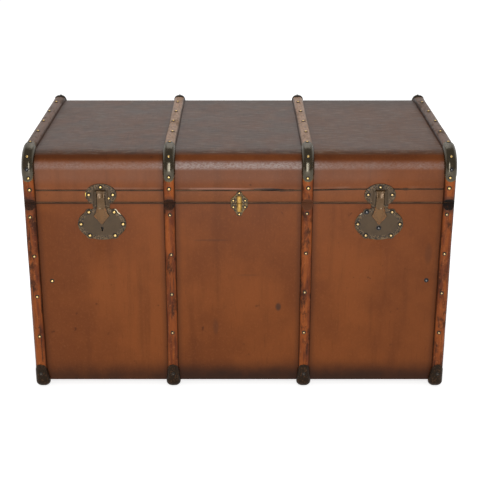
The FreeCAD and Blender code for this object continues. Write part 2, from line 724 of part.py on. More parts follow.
# Hinges: the box leaf holds both outer barrels and the pin, the lid leaf the middle one
third = hinge_width / 3
middle_barrel = [(-third / 2 - hinge_knuckle_gap, third / 2 + hinge_knuckle_gap)]
inner_gap = third / 2 + hinge_knuckle_gap + hinge_knuckle_gap
outer_barrels = [(-hinge_width / 2, -inner_gap), (inner_gap, hinge_width / 2)]
lid_leaf = hinge_leaf(middle_barrel, outer_barrels)
box_leaf = hinge_leaf(outer_barrels, middle_barrel).mirror(ORIGIN, Y_AXIS)
pin_reach = hinge_width / 2
hinge_pin = one_solid([
    barrel(-pin_reach, pin_reach, 0, hinge_standoff, hinge_pin_radius),
    barrel(-pin_reach - hinge_head_thickness, -pin_reach, 0, hinge_standoff, hinge_head_radius),
    barrel(pin_reach, pin_reach + hinge_head_thickness, 0, hinge_standoff, hinge_head_radius)])
for name, x in zip(side_names, bay_places):
    save(name + "_hinge_lid_leaf", on_back(lid_leaf, x, seam))
    save(name + "_hinge_box_leaf", on_back(box_leaf, x, seam))
save("hinge_pins", Part.makeCompound([on_back(hinge_pin, x, seam) for x in bay_places]))

# Handles on the ends
handle_level = seam - handle_drop
brackets = Part.makeCompound([handle_bracket(-1), handle_bracket(1)])
for name, place in zip(side_names, (on_left, on_right)):
    save(name + "_handle_brackets", place(brackets, 0, handle_level))
    save(name + "_handle_rod", place(handle_rod(), 0, handle_level))
    save(name + "_handle_grip", place(handle_grip(), 0, handle_level))
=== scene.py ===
import math

import bmesh
import bpy
import numpy as np
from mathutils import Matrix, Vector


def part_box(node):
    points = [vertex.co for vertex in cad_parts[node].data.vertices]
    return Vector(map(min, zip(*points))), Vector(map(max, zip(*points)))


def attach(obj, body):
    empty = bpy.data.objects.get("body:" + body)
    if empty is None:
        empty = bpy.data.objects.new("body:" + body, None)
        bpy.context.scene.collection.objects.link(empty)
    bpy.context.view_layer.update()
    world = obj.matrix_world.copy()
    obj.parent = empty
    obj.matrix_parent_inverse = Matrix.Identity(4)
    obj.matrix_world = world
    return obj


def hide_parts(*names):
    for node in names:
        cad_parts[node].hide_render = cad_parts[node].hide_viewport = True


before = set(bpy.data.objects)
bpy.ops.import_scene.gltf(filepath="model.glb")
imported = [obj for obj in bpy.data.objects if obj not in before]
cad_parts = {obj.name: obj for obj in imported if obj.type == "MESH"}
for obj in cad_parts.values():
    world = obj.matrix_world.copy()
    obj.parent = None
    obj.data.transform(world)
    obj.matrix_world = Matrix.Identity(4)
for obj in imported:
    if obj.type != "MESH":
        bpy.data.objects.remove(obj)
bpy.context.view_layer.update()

# Boards of box and lid: planed pine, nailed at the corners and hidden under canvas and paper. Only their
# edges show, round the mouth of the open trunk, browned by age and rubbed grey where the lid comes down.


class Shade:
    """A socket of a material's nodes that takes part in sums: 1 - mask adds its Math node by itself."""

    def __init__(self, tree, socket):
        self.tree = tree
        self.socket = socket

    def node(self, kind, settings, inputs, output=0):
        """Adds a node: its settings are set first, then the values or links of its sockets."""
        node = self.tree.nodes.new("ShaderNode" + kind)
        for key, value in settings.items():
            setattr(node, key, value)
        for key, value in inputs.items():
            if isinstance(value, Shade):
                self.tree.links.new(value.socket, node.inputs[key])
            else:
                node.inputs[key].default_value = value
        return Shade(self.tree, node.outputs[output])

    def math(self, operation, other=0.0):
        """A Math node on this value, with another value or a number."""
        return self.node("Math", {"operation": operation}, {0: self, 1: other})

    def __add__(self, other):
        return self.math("ADD", other)

    def __sub__(self, other):
        return self.math("SUBTRACT", other)

    def __rsub__(self, other):
        return self.node("Math", {"operation": "SUBTRACT"}, {0: other, 1: self})

    def __mul__(self, other):
        return self.math("MULTIPLY", other)

    def __truediv__(self, other):
        return self.math("DIVIDE", other)

    __radd__ = __add__
    __rmul__ = __mul__

    def parts(self):
        """The three numbers of a vector."""
        return [self.node("SeparateXYZ", {}, {0: self}, part) for part in ("X", "Y", "Z")]

    def stretched(self, *factors):
        """A vector with each of its numbers multiplied."""
        return self.node("VectorMath", {"operation": "MULTIPLY"}, {0: self, 1: factors})

    def noise(self, scale, detail=3.0, roughness=0.55):
        """Cloudy noise from 0 to 1 over a place, with this many lumps to a unit."""
        return self.node("TexNoise", {}, {"Vector": self, "Scale": scale, "Detail": detail,
                                          "Roughness": roughness})

    def rise(self, low, high):
        """0 on low's side and 1 on high's side, smooth between the two."""
        return self.node("MapRange", {"interpolation_type": "SMOOTHSTEP"},
                         {"Value": self, "From Min": low, "From Max": high})

    def mix(self, first, second):
        """The first colour where this mask is 0, the second where it is 1."""
        return self.node("Mix", {"data_type": "RGBA"}, {0: self, 6: first, 7: second}, 2)

    def own_place(self):
        """The place in its material that a piece's mesh gives each of its points."""
        return self.node("Attribute", {"attribute_name": "lay"}, {}, "Vector")

    def bump(self, distance, strength):
        """Normal of a surface with this height on it, from 0 to the distance in metres."""
        return self.node("Bump", {}, {"Height": self, "Distance": distance, "Strength": strength})


def colour(red, green, blue):
    """A screen colour, 0 to 255, as the linear colour that a shader takes."""
    shares = np.array([red, green, blue]) / 255.0
    linear = np.where(shares <= 0.04045, shares / 12.92, ((shares + 0.055) / 1.055) ** 2.4)
    return tuple(linear) + (1.0,)


def layered(base, *layers):
    """A colour with others laid over it, lowest first: each has a mask and a screen colour or Shade."""
    paint = colour(*base)
    for mask, tint in layers:
        paint = mask.mix(paint, tint if isinstance(tint, Shade) else colour(*tint))
    return paint


def new_finish(name):
    """An empty finish and the places on its piece, in metres."""
    finish = bpy.data.materials.new(name)
    finish.use_nodes = True
    places = finish.node_tree.nodes.new("ShaderNodeTexCoord")
    return finish, Shade(finish.node_tree, places.outputs["Object"])


def apply_finish(finish, **sockets):
    """Sets or links the shader's sockets, an underscore standing for a space in their names."""
    shader = finish.node_tree.nodes["Principled BSDF"]
    for name, value in sockets.items():
        socket = shader.inputs[name.replace("_", " ")]
        if isinstance(value, Shade):
            finish.node_tree.links.new(value.socket, socket)
        else:
            socket.default_value = value
    return finish


def pine(name, along, stain=0.0):
    """Old pine: fine dark lines and broad soft bands that run along one axis, greyed in patches, and
    stained dark by a share."""
    finish, place = new_finish(name)
    stretch = [1.0, 1.0, 1.0]
    stretch[along] = 0.03
    lines = place.stretched(*stretch).noise(700.0, 2.0).rise(0.35, 0.7)
    bands = place.stretched(*stretch).noise(90.0, 2.0)
    dirt = place.noise(25.0).rise(0.5, 0.72)
    wood = layered((176, 128, 82), (bands, (136, 92, 56)), (lines * 0.5, (98, 62, 36)),
                   (dirt * 0.7, (84, 62, 46)), (stain + 0.1 * dirt, (40, 27, 18)))
    return apply_finish(finish, Base_Color=wood, Roughness=0.62 + 0.2 * dirt, Normal=lines.bump(0.0002, 0.5))


def set_finish(finish, slot_name, *nodes):
    """Puts a finish on shapes that are shown as they come."""
    for node in nodes:
        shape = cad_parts[node]
        shape.data.materials.clear()
        shape.data.materials.append(finish)


long_pine = pine("pine_along_front", 0)
end_pine = pine("pine_along_ends", 1)
set_finish(long_pine, "pine", "front_board", "back_board", "bottom_board", "lid_front_rail", "lid_back_rail",
           "lid_front_bend", "lid_back_bend", "lid_top_board")
set_finish(end_pine, "pine", "left_end_board", "right_end_board", "lid_left_end", "lid_right_end")

# Canvas of the box: one coarse cloth glued over the boards, painted and varnished brown, turned in at the
# mouth. It is faded and scuffed, darker beside the slats with painted shade, darkened along the seam and the
# foot by dirt and painted shade, and cut away for the locks.

cloth_low, cloth_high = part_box("box_canvas")
band_low, band_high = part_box("lid_edge_band")
lid_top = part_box("lid_canvas")[1].z
end, back, front = cloth_high.x, cloth_high.y, cloth_low.y
box_bottom, box_top, lid_low, band_top = cloth_low.z, cloth_high.z, band_low.z, band_high.z
seam = (box_top + lid_low) / 2
cloth_thickness, cloth_edge = 0.001, 0.0016
sharp_corner = math.radians(38.0)
torn_left, torn_right, torn_step = -0.0012, 0.0016, (0.1, 0.27)
front_marks = [(0.086, 0.194, 0.008, 0.012, 0.8), (-0.06, 0.352, 0.05, 0.003, 0.35),
               (0.02, 0.27, 0.03, 0.003, 0.2), (0.41, 0.32, 0.01, 0.03, 0.3),
               (-0.052, 0.145, 0.008, 0.024, 0.3)]
# In torn_marks the first mark widens the painted highlight on the ridge, the second the painted shade of the
# torn line.
torn_marks = [(-0.04, 0.0031, 0.075, 0.0026, 0.75, (178, 122, 100)),
              (0.058, 0.0026, 0.034, 0.0026, 0.95, (30, 25, 24))]
slat_corners = [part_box("front_slat_%d" % number) for number in (1, 2, 3, 4)]
slat_places = [(low.x + high.x) / 2 for low, high in slat_corners]
lock_places = [(low.x + high.x) / 2 for low, high in (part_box("left_hasp"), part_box("right_hasp"))]


def oval_reach(aside, above, half_width, half_height):
    """How far out a place lies in an oval, squared: 0 in its middle and 1 on its edge."""
    across = aside / half_width
    up = above / half_height
    return across * across + up * up


def over_torn_edge(place):
    """Height over the torn edge, which lies low on the left and takes a smooth step up to the right."""
    x, z = place.parts()[::2]
    return z - x.rise(*torn_step) * (torn_right - torn_left) - (band_top + torn_left)


def front_only(place):
    """1 on the trunk's front face and 0 from a centimetre behind it."""
    return place.parts()[1].rise(front + 0.01, front + 0.002)


def paint_layers(place, clouds, scuffs):
    """Clouds, drips, scratches, specks, scuffs and spots all over, a few stains on the front, painted shade
    beside the slats, and dirt with painted shade along the foot."""
    x, z = place.parts()[::2]
    drips = place.stretched(1.0, 1.0, 0.1).noise(34.0).rise(0.5, 0.78)
    scratches = place.stretched(1.0, 1.0, 0.07).noise(330.0, 3.0, 0.7).rise(0.55, 0.72)
    specks = place.noise(210.0, 2.0).rise(0.5, 0.72)
    spots = place.noise(47.0, 3.0, 0.6).rise(0.69, 0.76)
    layers = [(clouds.rise(0.32, 0.68), (137, 75, 35)), (drips * 0.45, (98, 51, 23)),
              (scratches * 0.3, (92, 47, 22)), (specks * 0.3, (146, 84, 44)), (scuffs * 0.4, (152, 98, 64)),
              (spots * 0.6, (72, 38, 19))]
    in_front = front_only(place)
    for mark_x, mark_z, half_width, half_height, strength in front_marks:
        mark = oval_reach(x - mark_x, z - mark_z, half_width, half_height).rise(1.0, 0.1)
        layers.append((mark * in_front * strength, (64, 46, 36)))
    # Painted shade: darker beside each slat, where it stands out from the canvas.
    to_slat = [(x - slat_x).math("ABSOLUTE") for slat_x in slat_places]
    beside_slat = to_slat[0]
    for distance in to_slat[1:]:
        beside_slat = beside_slat.math("MINIMUM", distance)
    # Darker towards the foot, less on the left: dirt and painted shade.
    foot_dirt_and_shade = z.rise(0.08, 0.016) * (0.66 + 0.6 * place.noise(30.0)) * (1 - 0.25 * x.rise(-0.13, -0.2))
    return layers + [(beside_slat.rise(0.026, 0.0125) * 0.45, (74, 41, 22)),
                     (foot_dirt_and_shade.rise(0.0, 1.0), (54, 30, 17))]


def seam_layers(place):
    """The torn edge: a black line of uneven width, painted shade of its fold, a paler ridge over it with a
    painted highlight, and two marks on that. Below it, the mouth of the seam, darkened by dirt and painted
    shade of the gap."""
    x, z = place.parts()[::2]
    over_torn = over_torn_edge(place)
    in_front = front_only(place)
    layers = []
    for mark_x, mark_z, half_width, half_height, strength, tint in torn_marks:
        reach = oval_reach(x - mark_x, over_torn - mark_z, half_width, half_height)
        ragged = reach + place.noise(90.0) - 0.5
        layers.append((ragged.rise(1.0, 0.5) * in_front * strength, tint))
    # The paler ridge over the torn edge is a painted highlight.
    ridge = over_torn.rise(0.0085, 0.004) * over_torn.rise(0.001, 0.003) * place.noise(20.0).rise(0.35, 0.7)
    # The black torn line, of uneven width, is painted shade of the fold at the torn edge.
    torn = place.stretched(1.0, 0.0, 0.0).noise(16.0).rise(0.55, 0.7)
    torn_edge_shade = (over_torn.math("ABSOLUTE") / (0.0016 + 0.0016 * torn)).rise(1.3, 0.9)
    # Along the seam the canvas is darkened by dirt and by painted shade of the gap.
    mouth = (z - seam).math("ABSOLUTE")
    return layers + [(ridge * 0.5, (142, 106, 86)), (torn_edge_shade, (16, 13, 13)),
                     (mouth.rise(0.008, 0.002) * 0.3, (80, 45, 26)),
                     (mouth.rise(0.0028, 0.0016), (24, 19, 16))]


def lid_layers(place):
    """Fading on the lid's front, darker to the right; along its bend a painted highlight on bare threads,
    with a painted dark stripe of shade over it; and on the top dust with a painted sheen, warm and shaded
    bays, streaks, creases and stains."""
    x, y, z = place.parts()
    over_torn = over_torn_edge(place)
    on_band = z.rise(seam, seam + 0.003) * over_torn.rise(0.0, -0.002)
    dusty = (0.3 + 0.7 * over_torn.rise(0.008, 0.03)) * (0.16 + 0.2 * place.noise(24.0, 4.0))
    dusty = dusty * (1 - 0.6 * x.rise(0.26, 0.34)) * z.rise(lid_top - 0.014, lid_top - 0.028)
    # Along the bend a painted highlight over worn bare threads, strongest in the middle bay.
    on_edge = z.rise(lid_top - 0.038, lid_top - 0.029) * z.rise(lid_top - 0.015, lid_top - 0.025)
    bare = place.stretched(0.45, 1.0, 1.0).noise(420.0, 3.0, 0.7).rise(0.3, 0.7)
    middle_bay = 0.38 + 0.62 * x.math("ABSOLUTE").rise(0.2, 0.12)
    bare_threads_and_highlight = on_edge * (0.25 + 0.75 * bare) * middle_bay * (0.55 + 0.9 * place.noise(26.0))
    # Painted shade: a dark stripe on the upper part of the bend, just below the top.
    painted_dark_stripe = z.rise(lid_top - 0.022, lid_top - 0.011) * z.rise(lid_top - 0.003, lid_top - 0.0065)
    painted_dark_stripe = painted_dark_stripe * (0.84 - 0.62 * middle_bay - 0.26 * x.rise(0.15, 0.25))
    layers = [(on_band * 0.14, (160, 116, 88)), (x.rise(0.22, 0.4) * 0.16, (84, 42, 20)),
              (over_torn.rise(0.0, 0.004) * dusty, (138, 112, 100)), (bare_threads_and_highlight * 0.72, (184, 171, 166)),
              (painted_dark_stripe, (54, 24, 8))]
    on_top = z.rise(lid_top - 0.0085, lid_top - 0.0033)
    # The top's grey is dust and a painted sheen.
    dust_and_sheen = 0.58 + 0.24 * place.noise(18.0, 4.0).rise(0.3, 0.7)
    centre_bay, right_bay = [x.rise(slat_x - 0.01, slat_x + 0.01) for slat_x in slat_places[1:3]]
    warm = place.noise(16.0, 4.0, 0.6).rise(0.46, 0.62) * 0.36 + 0.54 * right_bay
    shaded = y.rise(0.08, 0.23) * (0.12 + 0.26 * centre_bay + 0.26 * right_bay)
    streaks = place.stretched(0.14, 1.0, 1.0).noise(230.0, 3.0, 0.7)
    creases = place.stretched(1.0, 0.1, 1.0).noise(210.0, 3.0, 0.7).rise(0.52, 0.7)
    stains = place.stretched(0.6, 1.0, 1.0).noise(36.0, 3.0, 0.6).rise(0.61, 0.7)
    for mask, tint in ((dust_and_sheen, (74, 66, 60)), (warm, (97, 56, 24)), (shaded, (36, 30, 27)),
                       (streaks.rise(0.48, 0.7) * 0.42, (132, 118, 104)),
                       (streaks.rise(0.5, 0.34) * 0.36, (46, 38, 32)),
                       (creases * 0.3, (50, 41, 36)), (stains * 0.55, (74, 40, 24))):
        layers.append((on_top * mask, tint))
    return layers


def old_canvas(name):
    """Brown paint, with its layers as they lie, on a plain weave: three crossing sets of sine ridges."""
    finish, place = new_finish(name)
    clouds = place.noise(7.0, 4.0)
    scuffs = place.noise(58.0, 4.0, 0.7).rise(0.66, 0.76)
    layers = paint_layers(place, clouds, scuffs) + seam_layers(place) + lid_layers(place)
    ridges = [(axis * threads).math("SINE") for axis in place.parts()]
    weave = (ridges[0] + ridges[1] + ridges[2]) / 6.0 + 0.5
    height = 0.35 * weave + 0.65 * place.noise(260.0, 3.0)
    return apply_finish(finish, Base_Color=layered((117, 62, 28), *layers), Specular_IOR_Level=0.14,
                        Roughness=0.36 + 0.14 * clouds + 0.2 * scuffs, Normal=height.bump(0.0004, 0.35))


def points_of(*numbers):
    """Points from their numbers along each axis; a number may hold for a whole row or column of them."""
    return np.stack(np.broadcast_arrays(*numbers), -1)


def on_circle(angle, radius=1.0):
    """Points round a circle in a plane."""
    return points_of(radius * np.cos(angle), radius * np.sin(angle))


def grid_mesh(name, grids, closed=True, lids=(0, -1)):
    """Quads between neighbours in grids of points, and a flat lid on each row that is named. In a closed
    grid the last column joins the first."""
    faces, start = [], 0
    for grid in grids:
        index = start + np.arange(grid[..., 0].size).reshape(grid.shape[:2])
        ends = [index[row].tolist() for row in lids]
        start += index.size
        if closed:
            index = np.hstack((index, index[:, :1]))
        quads = np.stack((index[:-1, :-1], index[:-1, 1:], index[1:, 1:], index[1:, :-1]), -1)
        faces += quads.reshape(-1, 4).tolist() + ends
    mesh = bpy.data.meshes.new(name)
    mesh.from_pydata(np.vstack([grid.reshape(-1, 3) for grid in grids]).tolist(), [], faces)
    return mesh


def make_piece(name, grids, finish, body, nodes=(), lay=(), wall=0.0):
    """One object from grids of points: closed tubes, or open sheets that a wall thickens inwards. lay holds
    each point's place in the material."""
    mesh = grid_mesh(name, grids, closed=False, lids=()) if wall else grid_mesh(name, grids)
    if lay:
        values = np.vstack([part.reshape(-1, 3) for part in lay]).astype(np.float32)
        mesh.attributes.new("lay", "FLOAT_VECTOR", "POINT").data.foreach_set("vector", values.ravel())
    return finish_piece(name, mesh, finish, body, nodes, wall)


def turn_outwards(mesh):
    """Makes every face of a mesh look outwards."""
    work = bmesh.new()
    work.from_mesh(mesh)
    bmesh.ops.recalc_face_normals(work, faces=work.faces)
    work.to_mesh(mesh)
    work.free()


def finish_piece(name, mesh, finish, body, nodes, wall=0.0):
    """Turns the faces outwards, smooths all but the sharp corners, and sets the piece on its body."""
    turn_outwards(mesh)
    mesh.shade_smooth()
    mesh.set_sharp_from_angle(angle=sharp_corner)
    mesh.materials.append(finish)
    piece = bpy.data.objects.new(name, mesh)
    bpy.context.scene.collection.objects.link(piece)
    if wall:
        shell = piece.modifiers.new("wall", "SOLIDIFY")
        shell.thickness = wall
        shell.offset = -1.0
    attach(piece, body)
    if nodes:
        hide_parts(*nodes)
    return piece


def rounded_loop(half_x, half_y, radius):
    """Points round a rectangle in plan: quarter circles at the corners, even steps between them."""
    turn = np.linspace(0.0, math.pi / 2, 5)
    arcs = []
    for quarter, (side_x, side_y) in enumerate(((1, 1), (-1, 1), (-1, -1), (1, -1))):
        angle = turn + quarter * math.pi / 2
        arcs.append((side_x * (half_x - radius), side_y * (half_y - radius)) + on_circle(angle, radius))
    runs = []
    for arc, following in zip(arcs, arcs[1:] + arcs[:1]):
        steps = np.linspace(0.0, 1.0, 14)[1:-1, None]
        runs += [arc, arc[-1] + steps * (following[0] - arc[-1])]
    return np.vstack(runs)


def stacked_loops(levels, corner_radius):
    """Rounded rectangles one over another, each moved in from the outer face by its inset."""
    rings = []
    for inset, level in levels:
        ring = rounded_loop(end - inset, back - inset, max(corner_radius - inset, corner_radius / 4))
        rings.append(np.insert(ring, 2, level, axis=1))
    return np.array(rings)


def cut_away(piece, grids):
    """Takes the shapes of closed grids out of a piece."""
    mesh = grid_mesh("cutter", grids)
    turn_outwards(mesh)
    cutter = bpy.data.objects.new("cutter", mesh)
    bpy.context.scene.collection.objects.link(cutter)
    piece.modifiers.new("cut", "BOOLEAN").object = cutter
    bpy.context.view_layer.update()
    shape = piece.evaluated_get(bpy.context.evaluated_depsgraph_get())
    piece_mesh = bpy.data.meshes.new_from_object(shape)
    piece.modifiers.clear()
    piece.data = piece_mesh
    bpy.data.objects.remove(cutter)


threads = 4200.0
canvas_finish = old_canvas("painted_canvas")
turned_edge = 0.0004
corner_radius = 0.003
box_levels = [(0.6 * cloth_thickness, box_top - turned_edge), (0.15 * cloth_thickness, box_top - 0.001),
              (0.0, box_top - cloth_edge), (0.0, (box_top + box_bottom) / 2), (0.0, box_bottom + cloth_edge),
              (0.3 * cloth_thickness, box_bottom + turned_edge), (cloth_edge, box_bottom)]
box_mesh = grid_mesh("box_canvas_skin", [stacked_loops(box_levels, corner_radius)], lids=(-1,))
box_skin = finish_piece("box_canvas_skin", box_mesh, canvas_finish, "box", ["box_canvas"],
                        cloth_thickness)
slot_half, slot_drop = 0.0026, 0.0385
slot_ring = np.array([(-1, -slot_drop), (1, -slot_drop), (1, slot_half), (-1, slot_half)]) * (slot_half, 1.0)
keyhole_radius, keyhole_level, keyhole_foot = 0.0028, -0.057, -0.065
keyhole_turn = np.linspace(-0.3 * math.pi, 1.3 * math.pi, 15)
keyhole_ring = np.vstack((on_circle(keyhole_turn, keyhole_radius) + (0.0, keyhole_level),
                          [(-keyhole_radius / 2, keyhole_foot), (keyhole_radius / 2, keyhole_foot)]))
lock_rings = [(slot_ring, keyhole_ring), (slot_ring,)]


def through_front(ring, x):
    """A flat ring, drawn about the seam at x, carried through the front from outside to inside."""
    return np.array([np.insert(ring + (x, seam), 1, front + depth, axis=1) for depth in (-0.005, 0.005)])


cut_away(box_skin, [through_front(ring, x) for x, rings in zip(lock_places, lock_rings) for ring in rings])

# Lining of box and lid: thin buff paper with a faint woven stripe, pasted on the boards and foxed with age.
# A thin wooden lip round the mouth, papered over, keeps dust out where the lid comes down.


def lining_paper(name):
    """Buff paper: fine upright and level stripes, brown clouds and small fox marks."""
    finish, place = new_finish(name)
    x, y, z = place.parts()
    upright = ((x + y) * 420.0).math("SINE").rise(0.55, 0.95)
    level = (z * 420.0).math("SINE").rise(0.55, 0.95)
    clouds = place.noise(6.0, 4.0).rise(0.4, 0.75)
    marks = place.noise(70.0, 2.0).rise(0.68, 0.76)
    paper = layered((196, 176, 138), (upright * 0.35, (150, 116, 82)), (level * 0.25, (140, 110, 84)),
                    (clouds * 0.55, (156, 122, 80)), (marks * 0.6, (116, 78, 46)),
                    (place.noise(600.0, 2.0) * 0.2, (120, 96, 70)))
    return apply_finish(finish, Base_Color=paper, Roughness=0.82 + 0.1 * clouds,
                        Normal=place.noise(350.0, 3.0).bump(0.0003, 0.3))


paper_finish = lining_paper("lining_paper")
set_finish(paper_finish, "paper", "box_lining", "lid_lining")
set_finish(pine("stained_lip", 0, 0.75), "pine", "dust_lip")

# Canvas of the lid: an edge band glued round its foot, then one cloth over the top, bent round the front and
# back edges, with its lower edge pasted over the band and frayed there.


def smooth_steps(values, seed):
    """Gentle irregularity between about -1 and 1: three waves of unlike length with seeded phases."""
    phases = np.random.default_rng(seed).uniform(0.0, 2 * math.pi, 3)
    return (np.sin(values * 9.7 + phases[0]) + np.sin(values * 23.1 + phases[1])
            + np.sin(values * 61.3 + phases[2])) / 3


def torn_rise(grid):
    """How far the torn edge lies over its mean level: low on the left, then a smooth step to the right."""
    share = np.clip((grid[..., 0] - torn_step[0]) / (torn_step[1] - torn_step[0]), 0.0, 1.0)
    return torn_left + (torn_right - torn_left) * share ** 2 * (3.0 - 2.0 * share)


def lid_outline(inset):
    """The lid's section from the band in front, over both bends, to the band at the back."""
    radius = bend_radius - inset
    turn = np.linspace(0.0, math.pi / 2, 17)
    rise = np.array([0.0, 0.002, 0.004, fray_reach])
    low = points_of(inset - back, band_top + rise)
    bend = (bend_radius - back, bend_level) + on_circle(math.pi - turn, radius)
    top = np.linspace(bend[-1], (0.0, lid_top - inset), 10)[1:]
    half = np.vstack((low, bend, top))
    return np.vstack((half, (half * (-1.0, 1.0))[-2::-1]))


bend_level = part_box("lid_front_bend")[0].z
bend_radius = lid_top - bend_level
fray_reach, fray_depth = 0.012, 0.0006
band_levels = [(0.3 * cloth_thickness, band_top - turned_edge), (0.0, band_top - cloth_edge),
               (0.0, lid_low + cloth_edge), (0.15 * cloth_thickness, lid_low + 0.001),
               (0.6 * cloth_thickness, lid_low + turned_edge)]
band_rings = stacked_loops(band_levels, corner_radius)
band_rings[:2, :, 2] += torn_rise(band_rings[:2])
band_mesh = grid_mesh("lid_band_skin", [band_rings], lids=())
finish_piece("lid_band_skin", band_mesh, canvas_finish, "lid", ["lid_edge_band"], cloth_thickness)

edge_turn = np.linspace(0.0, math.pi / 2, 5)
edge_stations = [(corner_radius * (1 - math.sin(a)), corner_radius * (1 - math.cos(a))) for a in edge_turn]
stations = [(-end + along, inset) for inset, along in edge_stations]
stations += [(x, 0.0) for x in np.linspace(-end, end, 62)[1:-1]]
stations += [(-x, inset) for x, inset in stations[4::-1]]
lid_grid = np.array([np.insert(lid_outline(inset), 0, x, axis=1) for x, inset in stations])
frayed = np.clip(1.0 - (lid_grid[:, :, 2] - band_top) / fray_reach, 0.0, 1.0)
fray = fray_depth * (1.0 + smooth_steps(6.0 * lid_grid[:, :, 0], 3))
lid_grid[:, :, 2] += frayed * (fray + torn_rise(lid_grid))
lid_mesh = grid_mesh("lid_canvas_skin", [lid_grid], closed=False)
finish_piece("lid_canvas_skin", lid_mesh, canvas_finish, "lid", ["lid_canvas"], cloth_thickness)

# Slats: bent ash or beech, rounded on the outside and varnished red brown. Four hoops go over the lid, four
# slats stand on the front and the back, and four runners lie underneath. Wear has opened the grain.


def slat_section(grow):
    """Short upright sides, round edges and a flat crown: across it, and out from the canvas."""
    run = (slat_width - slat_flat) / 2
    rise = slat_thickness - slat_side
    edge_radius = (run ** 2 + rise ** 2) / (2 * rise)
    radius = edge_radius + grow
    turn = np.linspace(math.acos((run + grow) / radius), math.pi / 2, 8)
    edge = (slat_flat / 2, slat_thickness - edge_radius) + on_circle(turn, radius)
    right = np.vstack(([[slat_width / 2 + grow, 0.0]], edge))
    return np.vstack((right, (right * (-1.0, 1.0))[::-1]))


def hoop_path(front_foot, back_foot):
    """Up the front of the lid, round the bend, over the top and down the back: points and outward ways."""
    turn = np.linspace(0.0, math.pi / 2, 17)
    bend = on_circle(math.pi - turn)
    front_line = np.linspace((front, front_foot), (front, bend_level), 9)[:-1]
    front_bend = bend * bend_radius + (front + bend_radius, bend_level)
    back_bend = (front_bend * (-1.0, 1.0))[::-1]
    top_line = np.linspace(front_bend[-1], back_bend[0], 50)[1:-1]
    back_line = np.linspace((back, bend_level), (back, back_foot), 9)[1:]
    ways = [np.tile((-1.0, 0.0), (8, 1)), bend, np.tile((0.0, 1.0), (48, 1)), (bend * (-1.0, 1.0))[::-1],
            np.tile((1.0, 0.0), (8, 1))]
    return np.vstack((front_line, front_bend, top_line, back_bend, back_line)), np.vstack(ways)


def upright_path(side):
    """Down the front or back of the box, then a quarter turn about the canvas's lower edge."""
    turn = np.linspace(0.0, math.pi / 2, 9)
    line = np.linspace((side * back, box_top), (side * back, box_bottom), 41)[:-1]
    ways = np.vstack((np.tile((side, 0.0), (40, 1)), on_circle(turn) * (side, -1.0)))
    return np.vstack((line, np.tile((side * back, box_bottom), (9, 1)))), ways


def run_lengths(points):
    """How far each point of a line lies from its start."""
    return np.concatenate(([0.0], np.cumsum(np.linalg.norm(np.diff(points, axis=0), axis=1))))


def off_path(x, path, ways, out):
    """Places at x beside a path, moved out along its ways."""
    return points_of(x, path[:, :1] + out * ways[:, :1], path[:, 1:] + out * ways[:, 1:])


def carried(section, path, ways, x, seed):
    """A section carried along a path in the plane at x, its width, place and crown wandering a little."""
    along = run_lengths(path)
    across = np.tile(section[:, 0], (len(path), 1))
    out = np.tile(section[:, 1], (len(path), 1))
    width = 1.0 + slat_swell * smooth_steps(along, seed)
    slip = slat_slip * smooth_steps(0.6 * along, seed + 50)
    across = across * width[:, None] + slip[:, None]
    worn = smooth_steps(1.7 * along[:, None] + 40.0 * across, seed + 90)
    out = out - slat_wear * (1.0 + worn) * (out > slat_thickness / 2)
    lay = points_of(across, out, along[:, None])
    return off_path(x + across, path, ways, out), lay


def over_side(out):
    """Share of the slat's crown height over its upright sides, which a sloped end follows."""
    return np.clip((out - slat_side) / (slat_thickness - slat_side), 0.0, 1.0)


